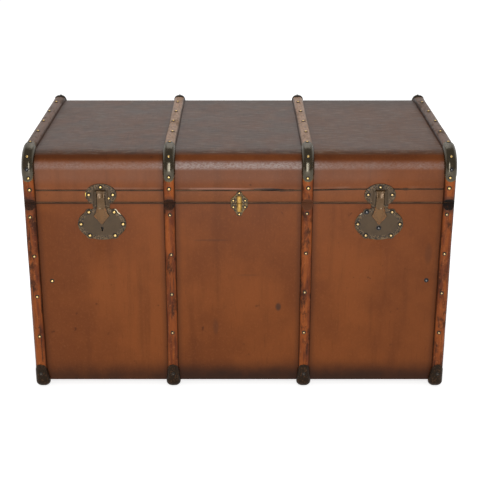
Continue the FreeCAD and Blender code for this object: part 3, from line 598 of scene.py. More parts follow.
def slat_wood(name, both_ends):
    """Varnished wood that follows the bend: streaks and cracks along it, sides darkened by dirt and painted
    shade, tops faded with a painted sheen, dirty end grain.
    """
    finish, place = new_finish(name)
    x, z = place.parts()[::2]
    lay = place.own_place()
    out, along = lay.parts()[1:]
    length = along.math("FRACT")
    streaks = lay.stretched(1.0, 1.0, 0.05).noise(420.0, 3.0)
    bands = lay.stretched(1.0, 1.0, 0.14).noise(75.0, 3.0)
    cracks = lay.stretched(1.0, 0.4, 0.03).noise(300.0, 2.0).rise(0.64, 0.72)
    worn = lay.stretched(1.0, 1.0, 0.3).noise(34.0, 4.0).rise(0.44, 0.66)
    dirt = lay.stretched(1.0, 1.0, 0.5).noise(44.0, 4.0, 0.7).rise(0.51, 0.66)
    flecks = lay.stretched(1.0, 1.0, 0.6).noise(190.0, 3.0, 0.7).rise(0.56, 0.68)
    on_top = z.rise(lid_top + 0.001, lid_top + 0.004)
    # The hoops' tops are faded wood with a painted sheen, darker on the outer hoops.
    faded_and_sheen = layered((184, 148, 116), (x.math("ABSOLUTE").rise(0.3, 0.4), (88, 68, 48)))
    rubbed = on_top * lay.stretched(1.0, 1.0, 0.4).noise(170.0, 3.0, 0.65).rise(0.42, 0.62)
    # The slats' sides are darkened by dirt and painted shade.
    edge = out.rise(0.0098, 0.005) * (0.85 - 0.4 * on_top * x.rise(-0.3, -0.4))
    blackened = 0.7 - 0.6 * x.rise(0.05, 0.1) + 0.85 * x.rise(0.3, 0.35)
    near_end = length.rise(0.016, 0.004)
    ends = length.rise(0.0012, 0.0002)
    if both_ends:
        near_end = near_end + length.rise(both_ends - 0.016, both_ends - 0.004)
        ends = ends + length.rise(both_ends - 0.0012, both_ends - 0.0002)
    end_grain = place.stretched(1.0, 1.0, 0.15).noise(380.0, 3.0, 0.65).rise(0.36, 0.66)
    blacks = (blackened + 0.3 * end_grain - 0.15).rise(0.1, 1.0)
    end_wood = layered((104, 64, 42), (blacks, (22, 18, 16)))
    wood = layered((104, 46, 16), (bands.rise(0.35, 0.65), (152, 78, 28)),
                   (streaks.rise(0.45, 0.75) * 0.6, (80, 36, 14)), (worn * 0.6, (168, 88, 34)),
                   (dirt * 0.85, (54, 27, 13)), (cracks * 0.85, (34, 20, 13)),
                   (flecks * 0.4, (184, 112, 62)), (on_top * 0.72, faded_and_sheen), (rubbed * 0.55, (98, 68, 50)),
                   (edge, (40, 21, 12)), (near_end * blackened * 0.6, (48, 32, 24)), (ends, end_wood))
    height = 0.5 * streaks + 0.5 * (1 - cracks)
    return apply_finish(finish, Base_Color=wood, Roughness=0.34 + 0.22 * dirt + 0.12 * streaks + 0.2 * ends,
                        Specular_IOR_Level=0.2, Normal=height.bump(0.0005, 0.5))


slat_width = slat_corners[0][1].x - slat_corners[0][0].x
slat_thickness = front - slat_corners[0][0].y
slat_side, slat_flat = 0.003, 0.005
slat_swell, slat_slip, slat_wear = 0.018, 0.0004, 0.0003
slat_slope, slat_slope_run = 0.0128, 0.05
hoop_slope, hoop_slope_run = 0.011, 0.03
hoop_lift, back_lift = 0.0004, 0.012
hoop_points, hoop_ways = hoop_path(lid_low + hoop_lift, seam + back_lift)
hoop_finish = slat_wood("hoop_wood", run_lengths(hoop_points)[-1])
upright_finish = slat_wood("slat_wood", 0.0)
wood_section = slat_section(0.0)
# Whole metres added to the lay give each slat its own stretch of grain.
for number, x in enumerate(slat_places, start=1):
    grid, lay = carried(wood_section, hoop_points, hoop_ways, x, number)
    rise = np.clip(1.0 - lay[:, :, 2] / hoop_slope_run, 0.0, 1.0)
    grid[:, :, 2] += hoop_slope * rise * over_side(lay[:, :, 1])
    lay[:, :, 2] += number
    make_piece("lid_hoop_%d" % number, [grid], hoop_finish, "lid", ["lid_slat_%d" % number],
               [lay])
    for side, face in ((-1, "front"), (1, "back")):
        points, ways = upright_path(side)
        grid, lay = carried(wood_section, points, ways, x, number + 4 + 4 * side)
        fall = np.clip(1.0 - lay[:, :, 2] / slat_slope_run, 0.0, 1.0)
        grid[:, :, 2] -= slat_slope * fall * over_side(lay[:, :, 1])
        lay[:, :, 2] += number + 8 + 4 * side
        make_piece("%s_upright_%d" % (face, number), [grid], upright_finish, "box",
                   ["%s_slat_%d" % (face, number)], [lay])
    points = np.linspace((front, box_bottom), (back, box_bottom), 30)
    grid, lay = carried(wood_section, points, np.tile((0.0, -1.0), (30, 1)), x, number + 12)
    lay[:, :, 2] += number + 16
    make_piece("runner_%d" % number, [grid], upright_finish, "box",
               ["bottom_runner_%d" % number], [lay])

# Caps: black japanned sheet steel pressed to the slats' shape, with half-round ends and a rolled edge, over
# the lid's bends and round the feet. Nailed through; worn to brown metal where they rub.


def cap_sheet(path, ways, x, toe):
    """A slat's outline, grown, along a path, narrowing at both ends as a half circle; edge slightly raised.
    toe is the share of the widening at each point; the outer caps widen to the inside only."""
    along = run_lengths(path + slat_thickness * ways)
    outline = slat_section(cap_grow)
    lengths = run_lengths(outline)
    half = lengths[-1] / 2
    to_end = np.minimum(along, along[-1] - along)
    round_end = slat_width / 2 + cap_grow
    narrow = np.sqrt(1.0 - np.clip(1.0 - to_end / round_end, 0.0, 1.0) ** 2)
    ramp = np.sqrt(np.clip((to_end - round_end) / shoulder_run, 0.0, 1.0))
    share = np.where(to_end < round_end, np.maximum(shoulder * narrow, 0.02),
                     shoulder + (1.0 - shoulder) * ramp)
    reach = half * share[:, None]
    spread = np.linspace(-1.0, 1.0, 33)
    across, out = [np.interp(half + reach * spread, lengths, values) for values in outline.T]
    border = np.minimum(reach * (1.0 - np.abs(spread)), to_end[:, None])
    rim = cap_rim * (1.0 + np.minimum(ways[:, 1:], 0.0))
    out = out + rim * np.exp(-(border / cap_rim_width) ** 2)
    widening = toe_spread * toe[:, None]
    inwards = -math.copysign(1.0, x) if x in (slat_places[0], slat_places[-1]) else 0.0
    across = across * (1.0 + widening / round_end) - inwards * widening
    lay = points_of(across, border, along[:, None] + x)
    return off_path(x - across, path, ways, out), lay


def black_japan(name, field, worn, rusty, gloss, lumps, shine):
    """Black lacquer on steel: rubbed on rims, pitted, with rust in the pits; lumps is the pits' strength."""
    finish, place = new_finish(name)
    border = place.own_place().parts()[1]
    rub = (place.noise(110.0, 4.0, 0.65) + 0.3 * border.rise(0.0034, 0.0008)).rise(0.66, 0.84)
    pits = place.noise(420.0, 3.0)
    rust = place.noise(300.0, 3.0, 0.7).rise(0.54, 0.66)
    dusty = place.parts()[2].rise(lid_top + 0.004, lid_top + 0.0125)
    metal = layered(field, (rub * 0.8, worn), (rust * 0.55, rusty), (dusty * 0.4, (84, 76, 64)))
    roughness = gloss + 0.1 * pits + 0.2 * rust + 0.34 * dusty
    return apply_finish(finish, Base_Color=metal, Metallic=0.5 * rub, Roughness=roughness,
                        Specular_IOR_Level=shine, Specular_Tint=(1.0, 0.9, 0.7, 1.0),
                        Normal=pits.bump(0.0004, lumps))


cap_grow, cap_steel = 0.001, 0.0009
cap_rim, cap_rim_width = 0.0002, 0.0016
shoulder, shoulder_run = 0.62, 0.004
toe_spread, toe_rise, toe_run = 0.0025, 0.030, 0.012
corner_drop, corner_run = 0.0185, 0.008
foot_drop, foot_run = 0.045, 0.040
corner_finish = black_japan("black_japan", (38, 29, 14), (136, 110, 60), (60, 43, 22), 0.1, 0.05, 0.8)
dull_finish = black_japan("dull_japan", (24, 20, 16), (58, 48, 36), (48, 36, 24), 0.42, 0.3, 0.12)
foot_finish = black_japan("rough_japan", (36, 24, 16), (58, 44, 32), (116, 80, 54), 0.3, 0.5, 0.15)
turn = np.linspace(0.0, math.pi / 2, 25)
arc = on_circle(math.pi - turn)
corner_bend = arc * bend_radius + (front + bend_radius, bend_level)
corner_points = np.vstack((np.linspace((front, bend_level - corner_drop), (front, bend_level), 13)[:-1],
                           corner_bend,
                           np.linspace(corner_bend[-1], corner_bend[-1] + (corner_run, 0.0), 7)[1:]))
corner_ways = np.vstack((np.tile((-1.0, 0.0), (12, 1)), arc, np.tile((0.0, 1.0), (6, 1))))
foot_points = np.vstack((np.linspace((front, box_bottom + foot_drop), (front, box_bottom), 19)[:-1],
                         np.tile((front, box_bottom), (25, 1)),
                         np.linspace((front, box_bottom), (front + foot_run, box_bottom), 19)[1:]))
foot_ways = np.vstack((np.tile((-1.0, 0.0), (18, 1)), arc * (1.0, -1.0), np.tile((0.0, -1.0), (18, 1))))
foot_inwards, foot_up = (foot_points - (front, box_bottom)).T
foot_toe = np.clip(1.0 - foot_up / toe_rise - foot_inwards / toe_run, 0.0, 1.0)
for face, mirror, bend_finish in (("front", (1.0, 1.0), corner_finish), ("back", (-1.0, 1.0), dull_finish)):
    for kind, body, points, ways, toe, finish in (
            ("corner", "lid", corner_points, corner_ways, np.zeros(len(corner_points)), bend_finish),
            ("foot", "box", foot_points, foot_ways, foot_toe, foot_finish)):
        sheets = [cap_sheet(points * mirror, ways * mirror, x, toe) for x in slat_places]
        make_piece("%s_%s_cap_sheets" % (face, kind), [grid for grid, lay in sheets], finish,
                   body, ["%s_%s_caps" % (face, kind)], [lay for grid, lay in sheets], cap_steel)

# Hasp locks: steel plates with a rolled rim and round ears for the nails, browned by age, and a bronzed hasp
# that hangs from a pin on the lid. Its staple goes through a slot in the lower plate to the lock behind.


def edge_distance(angle, discs=(), oval=None, block=None, outline=None):
    """How far a plate's edge lies from its middle at each angle: the farthest of its discs, its oval, its
    block (half width, low, high) and its drawn outline, with the inside corners eased."""
    way = on_circle(angle)
    far = np.full(len(angle), 1e-4)
    for u, v, radius in discs:
        ahead = way @ np.array((u, v))
        room = radius ** 2 - (way[:, 0] * v - way[:, 1] * u) ** 2
        far = np.maximum(far, np.where(room > 0.0, ahead + np.sqrt(np.maximum(room, 0.0)), 0.0))
    if oval:
        far = np.maximum(far, 1.0 / np.hypot(way[:, 0] / oval[0], way[:, 1] / oval[1]))
    if block:
        half, low, high = block
        level = np.where(way[:, 1] > 0.0, high, low)
        far = np.maximum(far, np.minimum(half / np.maximum(np.abs(way[:, 0]), 1e-6),
                                         np.abs(level) / np.maximum(np.abs(way[:, 1]), 1e-6)))
    if outline is not None:
        steps = np.linspace(0.0, 1.0, 12, endpoint=False)[:, None]
        runs = [start + steps * (stop - start) for start, stop in zip(outline, outline[1:])]
        outline = np.vstack(runs + [outline[-1:]])
        turns = np.unwrap(np.arctan2(outline[:, 1], outline[:, 0]))
        far = np.interp(np.mod(angle - turns[0], 2 * math.pi), turns - turns[0], np.hypot(*outline.T))
    kernel = np.exp(-(np.arange(-4, 5) / 2.0) ** 2)
    padded = np.concatenate((far[-4:], far, far[:4]))
    return np.convolve(padded, kernel / kernel.sum(), "valid")


def pressed_plate(middle, angle, far, rim, rise):
    """Rings from a plate's foot over its rim to the middle: each rim step is an inset and a height, and
    inside the rim the plate goes up by rise as a shallow dome."""
    rings = [(far - inset, height) for inset, height in rim]
    rings += [((far - rim[-1][0]) * share, rim[-1][1] + rise * (1.0 - share ** 2))
              for share in (0.86, 0.68, 0.46, 0.22, 0.05)]
    return np.array([np.insert(middle + on_circle(angle, radius), 2, height, axis=1)
                     for radius, height in rings])


def turned(rings, axis_place):
    """A shape turned about a fitting's u axis: each ring is a place along the axis and a radius."""
    angle = np.linspace(0.0, 2 * math.pi, 28, endpoint=False)
    return np.array([np.insert(axis_place + on_circle(angle, radius), 0, u, axis=1) for u, radius in rings])


def on_front(grid, x):
    """A fitting's u, v and w, to the right, up from the seam and out, as places on the trunk's front."""
    return points_of(x + grid[..., 0], front - grid[..., 2], seam + grid[..., 1])


def front_fitting(name, x, grids, wear, finish, slot_name, body, *nodes):
    """A piece of metalwork set on the front at x."""
    return make_piece(name, [on_front(grid, x) for grid in grids], finish, body, nodes, wear)


def plate_wear(grid, middle, far, glints_and_rubs=(), tone=0.0):
    """Places in a plate's finish: distance from its edge, wear and painted glints round the angles in
    glints_and_rubs (angle, width and amount), and the tone of the bare metal there, from white to yellow."""
    u, v = grid[..., 0] - middle[0], grid[..., 1] - middle[1]
    edge = far - np.hypot(u, v)
    wear = np.zeros(edge.shape)
    for angle, width, amount in glints_and_rubs:
        away = np.mod(np.arctan2(v, u) - angle + math.pi, 2 * math.pi) - math.pi
        wear += amount * np.exp(-(away / width) ** 2)
    return points_of(edge, wear, tone)


def plain_wear(grid):
    """Places in a plate's finish for a lug or cheek, far from any edge."""
    return np.zeros(grid.shape) + (0.02, 0.0, 0.0)


def aged_plate(name, field, border, dark, edge_metal, gloss):
    """Old pressed sheet: a plain field, a stamped border of fine lumps, a rim rubbed to metal in places,
    bare metal with painted glints, and a painted dark outline of shade at the edge.
    """
    finish, place = new_finish(name)
    edge, wear, tone = place.own_place().parts()
    clouds = place.noise(60.0, 4.0, 0.6)
    stamps = place.noise(430.0, 2.0).rise(0.38, 0.62)
    pits = place.noise(700.0, 2.0)
    in_border = edge.rise(0.0115, 0.0085)
    on_rim = edge.rise(0.0026, 0.0008)
    rubbed = on_rim * place.noise(140.0, 3.0).rise(0.48, 0.62)
    stamped = layered(dark, (stamps, border))
    worn = (wear * on_rim).rise(0.3, 0.85)
    bare = layered((226, 214, 184), (tone, (226, 196, 96)))
    # The rim's bare metal lies where wear and painted glints are; the outermost rim has a painted dark
    # outline of shade.
    metal = layered(field, (clouds.rise(0.35, 0.75) * 0.25, dark), (in_border * 0.95, stamped),
                    (rubbed * 0.6, edge_metal), (pits.rise(0.6, 0.75) * 0.3, dark),
                    (edge.rise(0.0013, 0.0003) * 0.7, (22, 17, 11)), (worn, bare))
    height = 0.5 * in_border * stamps + 0.2 * pits
    return apply_finish(finish, Base_Color=metal, Metallic=0.35 + 0.55 * worn + 0.3 * rubbed * (1 - worn),
                        Roughness=gloss + 0.16 * clouds - 0.14 * worn, Normal=height.bump(0.0006, 0.5))


def aged_metal(name, bright, dull, dark, shine):
    """Old metal: dull all over, dark in the hollows, bright where high spots are rubbed."""
    finish, place = new_finish(name)
    clouds = place.noise(45.0, 4.0, 0.6)
    pits = place.noise(520.0, 3.0)
    grain = place.noise(170.0, 3.0, 0.65)
    rub = grain.rise(0.56, 0.78)
    metal = layered(dull, (clouds.rise(0.35, 0.65), dark), (rub * 0.55, bright),
                    (pits.rise(0.55, 0.75) * 0.4, dark))
    return apply_finish(finish, Base_Color=metal, Metallic=shine,
                        Roughness=0.32 + 0.25 * clouds + 0.15 * pits,
                        Normal=(0.6 * pits + 0.4 * grain).bump(0.0003, 0.45))


plate_finish = aged_plate("browned_steel", (74, 56, 33), (108, 85, 57), (24, 18, 11), (136, 112, 70), 0.36)
strap_finish = aged_plate("dark_bronze", (96, 70, 38), (96, 70, 38), (70, 50, 28), (150, 120, 80), 0.2)
hasp_finish = aged_plate("bronzed_steel", (112, 77, 38), (112, 77, 38), (94, 64, 32), (190, 116, 62), 0.36)
iron_finish = aged_metal("black_iron", (84, 76, 66), (44, 40, 36), (28, 25, 23), 0.6)
fitting_sheet, plate_dome = 0.0015, 0.0002
around = np.linspace(0.0, 2 * math.pi, 240, endpoint=False)
plate_rim = [(0.0, 0.0), (0.0, 0.0009), (0.0004, 0.0015), (0.0011, 0.0017), (0.0019, 0.0014),
             (0.0026, 0.0011), (0.0034, 0.0013), (0.0044, fitting_sheet), (0.007, fitting_sheet),
             (0.010, fitting_sheet)]
lock_middle = (0.0, -0.048)
lock_ears = [(side * 0.027, v, 0.008) for side in (-1, 1) for v in (0.027, -0.0263)]
lock_far = edge_distance(around, lock_ears, oval=(0.052, 0.0365), block=(0.019, -0.001, 0.0365))
lock_grid = pressed_plate(lock_middle, around, lock_far, plate_rim, plate_dome)
lock_glints_and_rubs = {"left": [(0.62, 0.16, 1.0), (0.82, 0.12, 0.6), (2.6, 0.2, 0.3)],
             "right": [(2.62, 0.1, 0.66), (2.12, 0.05, 0.4), (4.6, 0.3, 0.2)]}
hasp_middle = (0.0, 0.018)
hasp_far = edge_distance(around, oval=(0.0335, 0.025), block=(0.0185, -0.0288, 0.001))
hasp_grid = pressed_plate(hasp_middle, around, hasp_far, plate_rim, plate_dome)
hasp_glints_and_rubs = {"left": [(3.1, 0.2, 0.9), (0.85, 0.2, 0.4)], "right": [(1.3, 0.12, 0.35), (3.1, 0.2, 0.25)]}
pivot, knuckle_radius, strap_half = (0.026, 0.0049), 0.003, 0.009
lug_start, lug_stop, lug_foot = 0.0094, 0.0120, 0.0008
half_turn = np.linspace(0.0, math.pi, 13)
lug_arc = pivot + on_circle(half_turn, knuckle_radius)
lug_ring = np.vstack(([(lug_arc[0, 0], lug_foot)], lug_arc, [(lug_arc[-1, 0], lug_foot)]))
lug_grids = [np.array([np.insert(lug_ring, 0, side * u, axis=1) for u in (lug_start, lug_stop)])
             for side in (-1, 1)]
cheek_section = np.array([(-1.0, 0.0), (-1.0, 0.8), (-0.9, 1.0), (-0.5, 0.98), (-0.1, 0.84), (0.3, 0.58),
                          (0.65, 0.28), (1.0, 0.0)])
cheek_levels = np.array([0.0330, 0.0290, 0.024, 0.016, 0.008, -0.0005, -0.0032, -0.0045])
cheek_heights = 0.0010 + 0.0030 * np.array([0.0, 0.42, 0.85, 1.0, 1.0, 1.0, 0.85, 0.4])
cheek_outside, cheek_foot = 0.0178, 0.0005
cheek_across = lug_start + (cheek_outside - lug_start) * (1.0 + cheek_section[:, 0]) / 2
cheek_out = cheek_foot + cheek_heights[:, None] * cheek_section[:, 1]
cheek_grids = [points_of(side * cheek_across, cheek_levels[:, None], cheek_out) for side in (-1, 1)]

hasp_gap, shield_sheet, shield_dome = 0.0004, 0.002, 0.0006
hasp_back = fitting_sheet + hasp_gap
shield_right = np.array([(0.009, -0.006), (0.0096, -0.0105), (0.0108, -0.0155), (0.0125, -0.0205),
                         (0.0147, -0.0252), (0.017, -0.0289), (0.0143, -0.0322), (0.0100, -0.0376),
                         (0.0057, -0.0429), (0.0012, -0.0486)])
shield_middle = np.array((0.0, -0.027))
shield_outline = np.vstack((shield_right, (shield_right * (-1.0, 1.0))[::-1])) - shield_middle
shield_far = edge_distance(around, outline=np.vstack((shield_outline[::-1], shield_outline[-1:])))
shield_rim = [(0.0, 0.0), (0.0, 0.0011), (0.0004, 0.0017), (0.0010, shield_sheet), (0.0022, shield_sheet)]
shield_grid = pressed_plate(shield_middle, around, shield_far, shield_rim, shield_dome)
shield_grid += (0.0, 0.0, hasp_back)
strap_sheet, strap_top, strap_end, strap_round = 0.003, 0.028, -0.009, 0.004
bow_height, bow_level, bow_spread = 0.0034, 0.012, 0.0062
strap_section = np.array([(-1.0, 0.0), (-1.0, 0.55), (-0.93, 0.9), (-0.8, 1.0), (-0.62, 0.98), (-0.5, 0.9),
                          (0.5, 0.9), (0.62, 0.98), (0.8, 1.0), (0.93, 0.9), (1.0, 0.55), (1.0, 0.0)])
strap_levels = np.concatenate((np.linspace(strap_top, strap_end, 22),
                               strap_end - strap_round * np.sin(half_turn[1:7])))
strap_share = np.concatenate((np.ones(22), np.cos(half_turn[1:7] * 0.93)))
strap_bow = bow_height * np.exp(-((strap_levels - bow_level) / bow_spread) ** 2)
strap_across = strap_half * strap_share[:, None] * strap_section[:, 0]
strap_out = hasp_back + (strap_sheet + strap_bow)[:, None] * strap_section[:, 1]
strap_grid = points_of(strap_across, strap_levels[:, None], strap_out)
knuckle_grid = turned([(-strap_half, 0.0024), (-0.0087, 0.003), (-0.0065, 0.0032), (-0.0055, 0.00305),
                       (0.0055, 0.00305), (0.0065, 0.0032), (0.0087, 0.003), (strap_half, 0.0024)], pivot)
staple_level, staple_half, staple_depth, staple_foot = -0.030, 0.0045, 0.0035, 0.0025
staple_wide, staple_thick = 0.002, 0.0012
staple_turn = np.linspace(0.0, math.pi, 11)
staple_path = (staple_level, -staple_depth) + on_circle(staple_turn) * (staple_half, -staple_depth)
staple_path = np.vstack(([(staple_level + staple_half, staple_foot)], staple_path,
                         [(staple_level - staple_half, staple_foot)]))
staple_ways = np.gradient(staple_path, axis=0)
staple_ways /= np.linalg.norm(staple_ways, axis=1)[:, None]
round_turn = np.linspace(0.0, 2 * math.pi, 10, endpoint=False)
staple_across, staple_side = staple_wide * np.sin(round_turn), staple_thick * np.cos(round_turn)
staple_up = staple_path[:, :1] - staple_ways[:, 1:] * staple_side
staple_out = staple_path[:, 1:] + staple_ways[:, :1] * staple_side
staple_grid = points_of(staple_across, staple_up, staple_out)
shield_glints_and_rubs = [(-0.1, 0.5, 0.25), (-0.75, 0.2, 0.35)]
strap_wear_and_shade = plain_wear(strap_grid)
# The strap's sides get no distance from the edge, so the painted dark outline of shade marks the slots
# beside it.
strap_wear_and_shade[:, [0, 1, 2, -3, -2, -1], 0] = 0.0
carrier_grids = [hasp_grid] + lug_grids + cheek_grids
for side, x, rings in zip(("left", "right"), lock_places, lock_rings):
    wear = [plate_wear(lock_grid, lock_middle, lock_far, lock_glints_and_rubs[side])]
    plate = front_fitting(side + "_lock_front", x, [lock_grid], wear, plate_finish, "aged_steel", "box",
                          side + "_lock_plate")
    cut_away(plate, [through_front(ring, x) for ring in rings])
    wear = [plate_wear(hasp_grid, hasp_middle, hasp_far, hasp_glints_and_rubs[side], 1.0)]
    wear += [plain_wear(grid) for grid in carrier_grids[1:]]
    front_fitting(side + "_hasp_carrier", x, carrier_grids, wear, plate_finish, "aged_steel", "lid",
                  side + "_hasp_plate")
    wear = [plate_wear(shield_grid, shield_middle, shield_far, shield_glints_and_rubs), plain_wear(staple_grid)]
    front_fitting(side + "_hasp_shield", x, [shield_grid, staple_grid], wear, hasp_finish, "bronzed_steel",
                  side + "_hasp", side + "_hasp")
    front_fitting(side + "_hasp_strap", x, [strap_grid, knuckle_grid],
                  [strap_wear_and_shade, plain_wear(knuckle_grid)], strap_finish, "bronzed_steel", side + "_hasp")
set_finish(iron_finish, "iron", "lock_cases")
pin_end, pin_radius = 0.0122, 0.0013
pin_grid = turned([(-pin_end, 0.7 * pin_radius), (0.3 * pin_radius - pin_end, pin_radius),
                   (pin_end - 0.3 * pin_radius, pin_radius), (pin_end, 0.7 * pin_radius)], pivot)
make_piece("hasp_pin_pair", [on_front(pin_grid, x) for x in lock_places], iron_finish, "lid",
           ["hasp_pins"])

# Dowel in the middle of the front: two small plates, each with a raised half-round tube in bright brass. The
# upper tube carries a pin that drops into the lower one and keeps the closed lid in line.


def dowel_half(height, tube_length):
    """Plate and half-round tube, drawn upwards from the seam; the tube's end slopes in."""
    right = np.array([(0.0185, 0.0003), (0.0185, 0.3 * height), (0.0128, 0.3 * height + 0.0056),
                      (0.007, height - 0.007), (0.0066, height - 0.0047), (0.005, height - 0.0021),
                      (0.0027, height - 0.0005)])
    middle = np.array((0.0, height / 3))
    edge = np.vstack((right, [[0.0, height]], (right * (-1.0, 1.0))[::-1])) - middle
    far = edge_distance(around, outline=np.vstack((edge, edge[:1])))
    plate = pressed_plate(middle, around, far, dowel_rim, 0.0)
    levels = np.array([0.0004, 0.0009, tube_length - 0.0026, tube_length - 0.0018, tube_length])
    radii = tube_radius * np.array([[0.93], [1.0], [1.0], [0.97], [0.64]])
    turn = np.linspace(0.0, math.pi, 17)
    tube = points_of(radii * np.cos(turn), levels[:, None], tube_foot + radii * np.sin(turn))
    return plate, plate_wear(plate, middle, far), tube


tube_radius, tube_foot = 0.0055, 0.0009
dowel_rim = [(0.0, 0.0), (0.0, 0.001), (0.0005, fitting_sheet), (0.0016, 0.0013)]
dowel_plate = aged_plate("spotted_brass", (62, 48, 28), (126, 101, 60), (20, 15, 10), (158, 130, 72), 0.3)
brass_finish = aged_metal("worn_brass", (240, 208, 132), (206, 166, 88), (150, 114, 56), 0.8)
for half, flip, body, height, tube_length in (("upper", 1.0, "lid", 0.026, 0.016),
                                              ("lower", -1.0, "box", 0.030, 0.020)):
    plate, wear, tube = dowel_half(height, tube_length)
    mirror = (1.0, flip, 1.0)
    front_fitting("dowel_%s_plate" % half, 0.0, [plate * mirror], [wear], dowel_plate, "aged_steel", body,
                  "dowel_%s_half" % half)
    front_fitting("dowel_%s_tube" % half, 0.0, [tube * mirror], (), brass_finish, "brass", body)

# Hinges: three-barrel butt hinges in black iron, nailed through the canvas to the back of lid and box in the
# outer bays. A pin lies outside the canvas, through the barrels of both leaves.


def eased_copy(name, node, finish, body, width):
    """A rigid shape as drawn: loose triangles joined, flat faces merged, sharp corners rounded by width."""
    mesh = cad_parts[node].data.copy()
    work = bmesh.new()
    work.from_mesh(mesh)
    bmesh.ops.remove_doubles(work, verts=work.verts, dist=1e-6)
    bmesh.ops.dissolve_limit(work, angle_limit=math.radians(1.0), verts=work.verts, edges=work.edges)
    work.to_mesh(mesh)
    work.free()
    mesh.materials.clear()
    piece = finish_piece(name, mesh, finish, body, [node])
    easing = piece.modifiers.new("eased", "BEVEL")
    easing.width = width
    easing.segments = 2
    easing.angle_limit = math.radians(40.0)
    return piece


leaf_easing = 0.0004
for side in ("left", "right"):
    for half, body in (("upper", "lid"), ("lower", "box")):
        eased_copy("%s_hinge_%s_leaf" % (side, half), "%s_hinge_%s_leaf" % (side, body), iron_finish,
                   body, leaf_easing)
set_finish(iron_finish, "iron", "hinge_pins")

# Handles: on each end an iron rod bent to a bail, with a leather roll stitched round it for the hand. The
# rod's ends turn in the bosses of two iron brackets, nailed to the end through the canvas.


def grip_leather(name):
    """Brown leather: fine grain, darker where hands rub, cracked across."""
    finish, place = new_finish(name)
    grain = place.noise(900.0, 3.0)
    cracks = place.stretched(1.0, 3.0, 1.0).noise(150.0, 3.0).rise(0.58, 0.7)
    rub = place.noise(30.0, 3.0).rise(0.4, 0.7)
    hide = layered((96, 56, 34), (rub, (62, 36, 24)), (cracks * 0.6, (38, 24, 18)))
    return apply_finish(finish, Base_Color=hide, Roughness=0.42 + 0.25 * grain,
                        Normal=(0.6 * grain + 0.4 * (1 - cracks)).bump(0.0005, 0.5))


leather_finish = grip_leather("handle_leather")
bracket_easing, rod_easing = 0.0005, 0.0004
ridge_height, ridge_width, stitches = 0.0011, 0.14, 130.0
lump_height, neck = 0.00018, 0.55
grip_along = np.linspace(-1.0, 1.0, 61)
grip_turn = np.linspace(0.0, 2 * math.pi, 40, endpoint=False)
for side in ("left", "right"):
    eased_copy(side + "_handle_lugs", side + "_handle_brackets", iron_finish, "box", bracket_easing)
    eased_copy(side + "_bail", side + "_handle_rod", iron_finish, side + "_handle", rod_easing)
    low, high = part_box(side + "_handle_grip")
    middle = (low + high) / 2
    fullness = (high.z - low.z) / 2 * (0.80 + 0.18 * np.sqrt(1.0 - grip_along ** 2))
    fullness = fullness + lump_height * smooth_steps(14.0 * grip_along, 7)
    ridge = ridge_height * np.exp(-((grip_turn - 1.5 * math.pi) / ridge_width) ** 2)
    radius = fullness[:, None] + ridge * (1.0 + 0.25 * np.sin(stitches * grip_along))[:, None]
    radius = np.vstack((radius[:1] * neck, radius, radius[-1:] * neck))
    along = (high.y - low.y) / 2 * np.concatenate(([-1.0], grip_along, [1.0]))
    grip_grid = points_of(middle.x + radius * np.cos(grip_turn), middle.y + along[:, None],
                          middle.z + radius * np.sin(grip_turn))
    make_piece(side + "_grip_roll", [grip_grid], leather_finish, side + "_handle",
               [side + "_handle_grip"])

# Nails: round-headed brass nails, driven by hand and so not quite in line. Their crowns are rubbed bright,
# with a painted highlight in the middle, and their rims are black with old polish and painted shade. Those
# of hinges, handles, feet and back caps are iron or steel.


def nail_heads(name, places, ways, radius, finish, slot_name, body, *nodes):
    """Domed heads on a low collar: rings that shrink and rise along each nail's way out."""
    places = np.array(places)
    ways = np.array(ways) + np.zeros(places.shape)
    first = np.cross(ways, np.where(np.abs(ways[:, :1]) > 0.9, (0.0, 1.0, 0.0), (1.0, 0.0, 0.0)))
    first /= np.linalg.norm(first, axis=1)[:, None]
    second = np.cross(ways, first)
    turn = np.linspace(0.0, 2 * math.pi, 14, endpoint=False)[:, None]
    flat = np.cos(turn) * first[:, None, None] + np.sin(turn) * second[:, None, None]
    shrink, height = nail_profile.T
    lay = points_of(shrink[:, None], height[:, None], np.zeros(14))
    shape = shrink[:, None, None] * flat + height[:, None, None] * ways[:, None, None]
    heads = places[:, None, None] + radius * shape
    return make_piece(name, list(heads), finish, body, nodes, [lay] * len(heads))


def nail_metal(name, bright, dull, dark):
    """Crown bright in the middle, partly a painted highlight, and duller towards its edge; collar dark with
    old
    polish and painted shade: the colour follows how far out a point lies.
    """
    finish, place = new_finish(name)
    share = place.own_place().parts()[0] + 0.2 * (place.noise(260.0, 2.0) - 0.5)
    # Dark collar: old polish and painted shade round the head.
    collar = share.rise(0.56, 0.68)
    metal = layered(bright, (share.rise(0.22, 0.55), dull), (collar, dark))
    return apply_finish(finish, Base_Color=metal, Metallic=0.9 - 0.7 * collar,
                        Roughness=0.25 + 0.35 * collar)


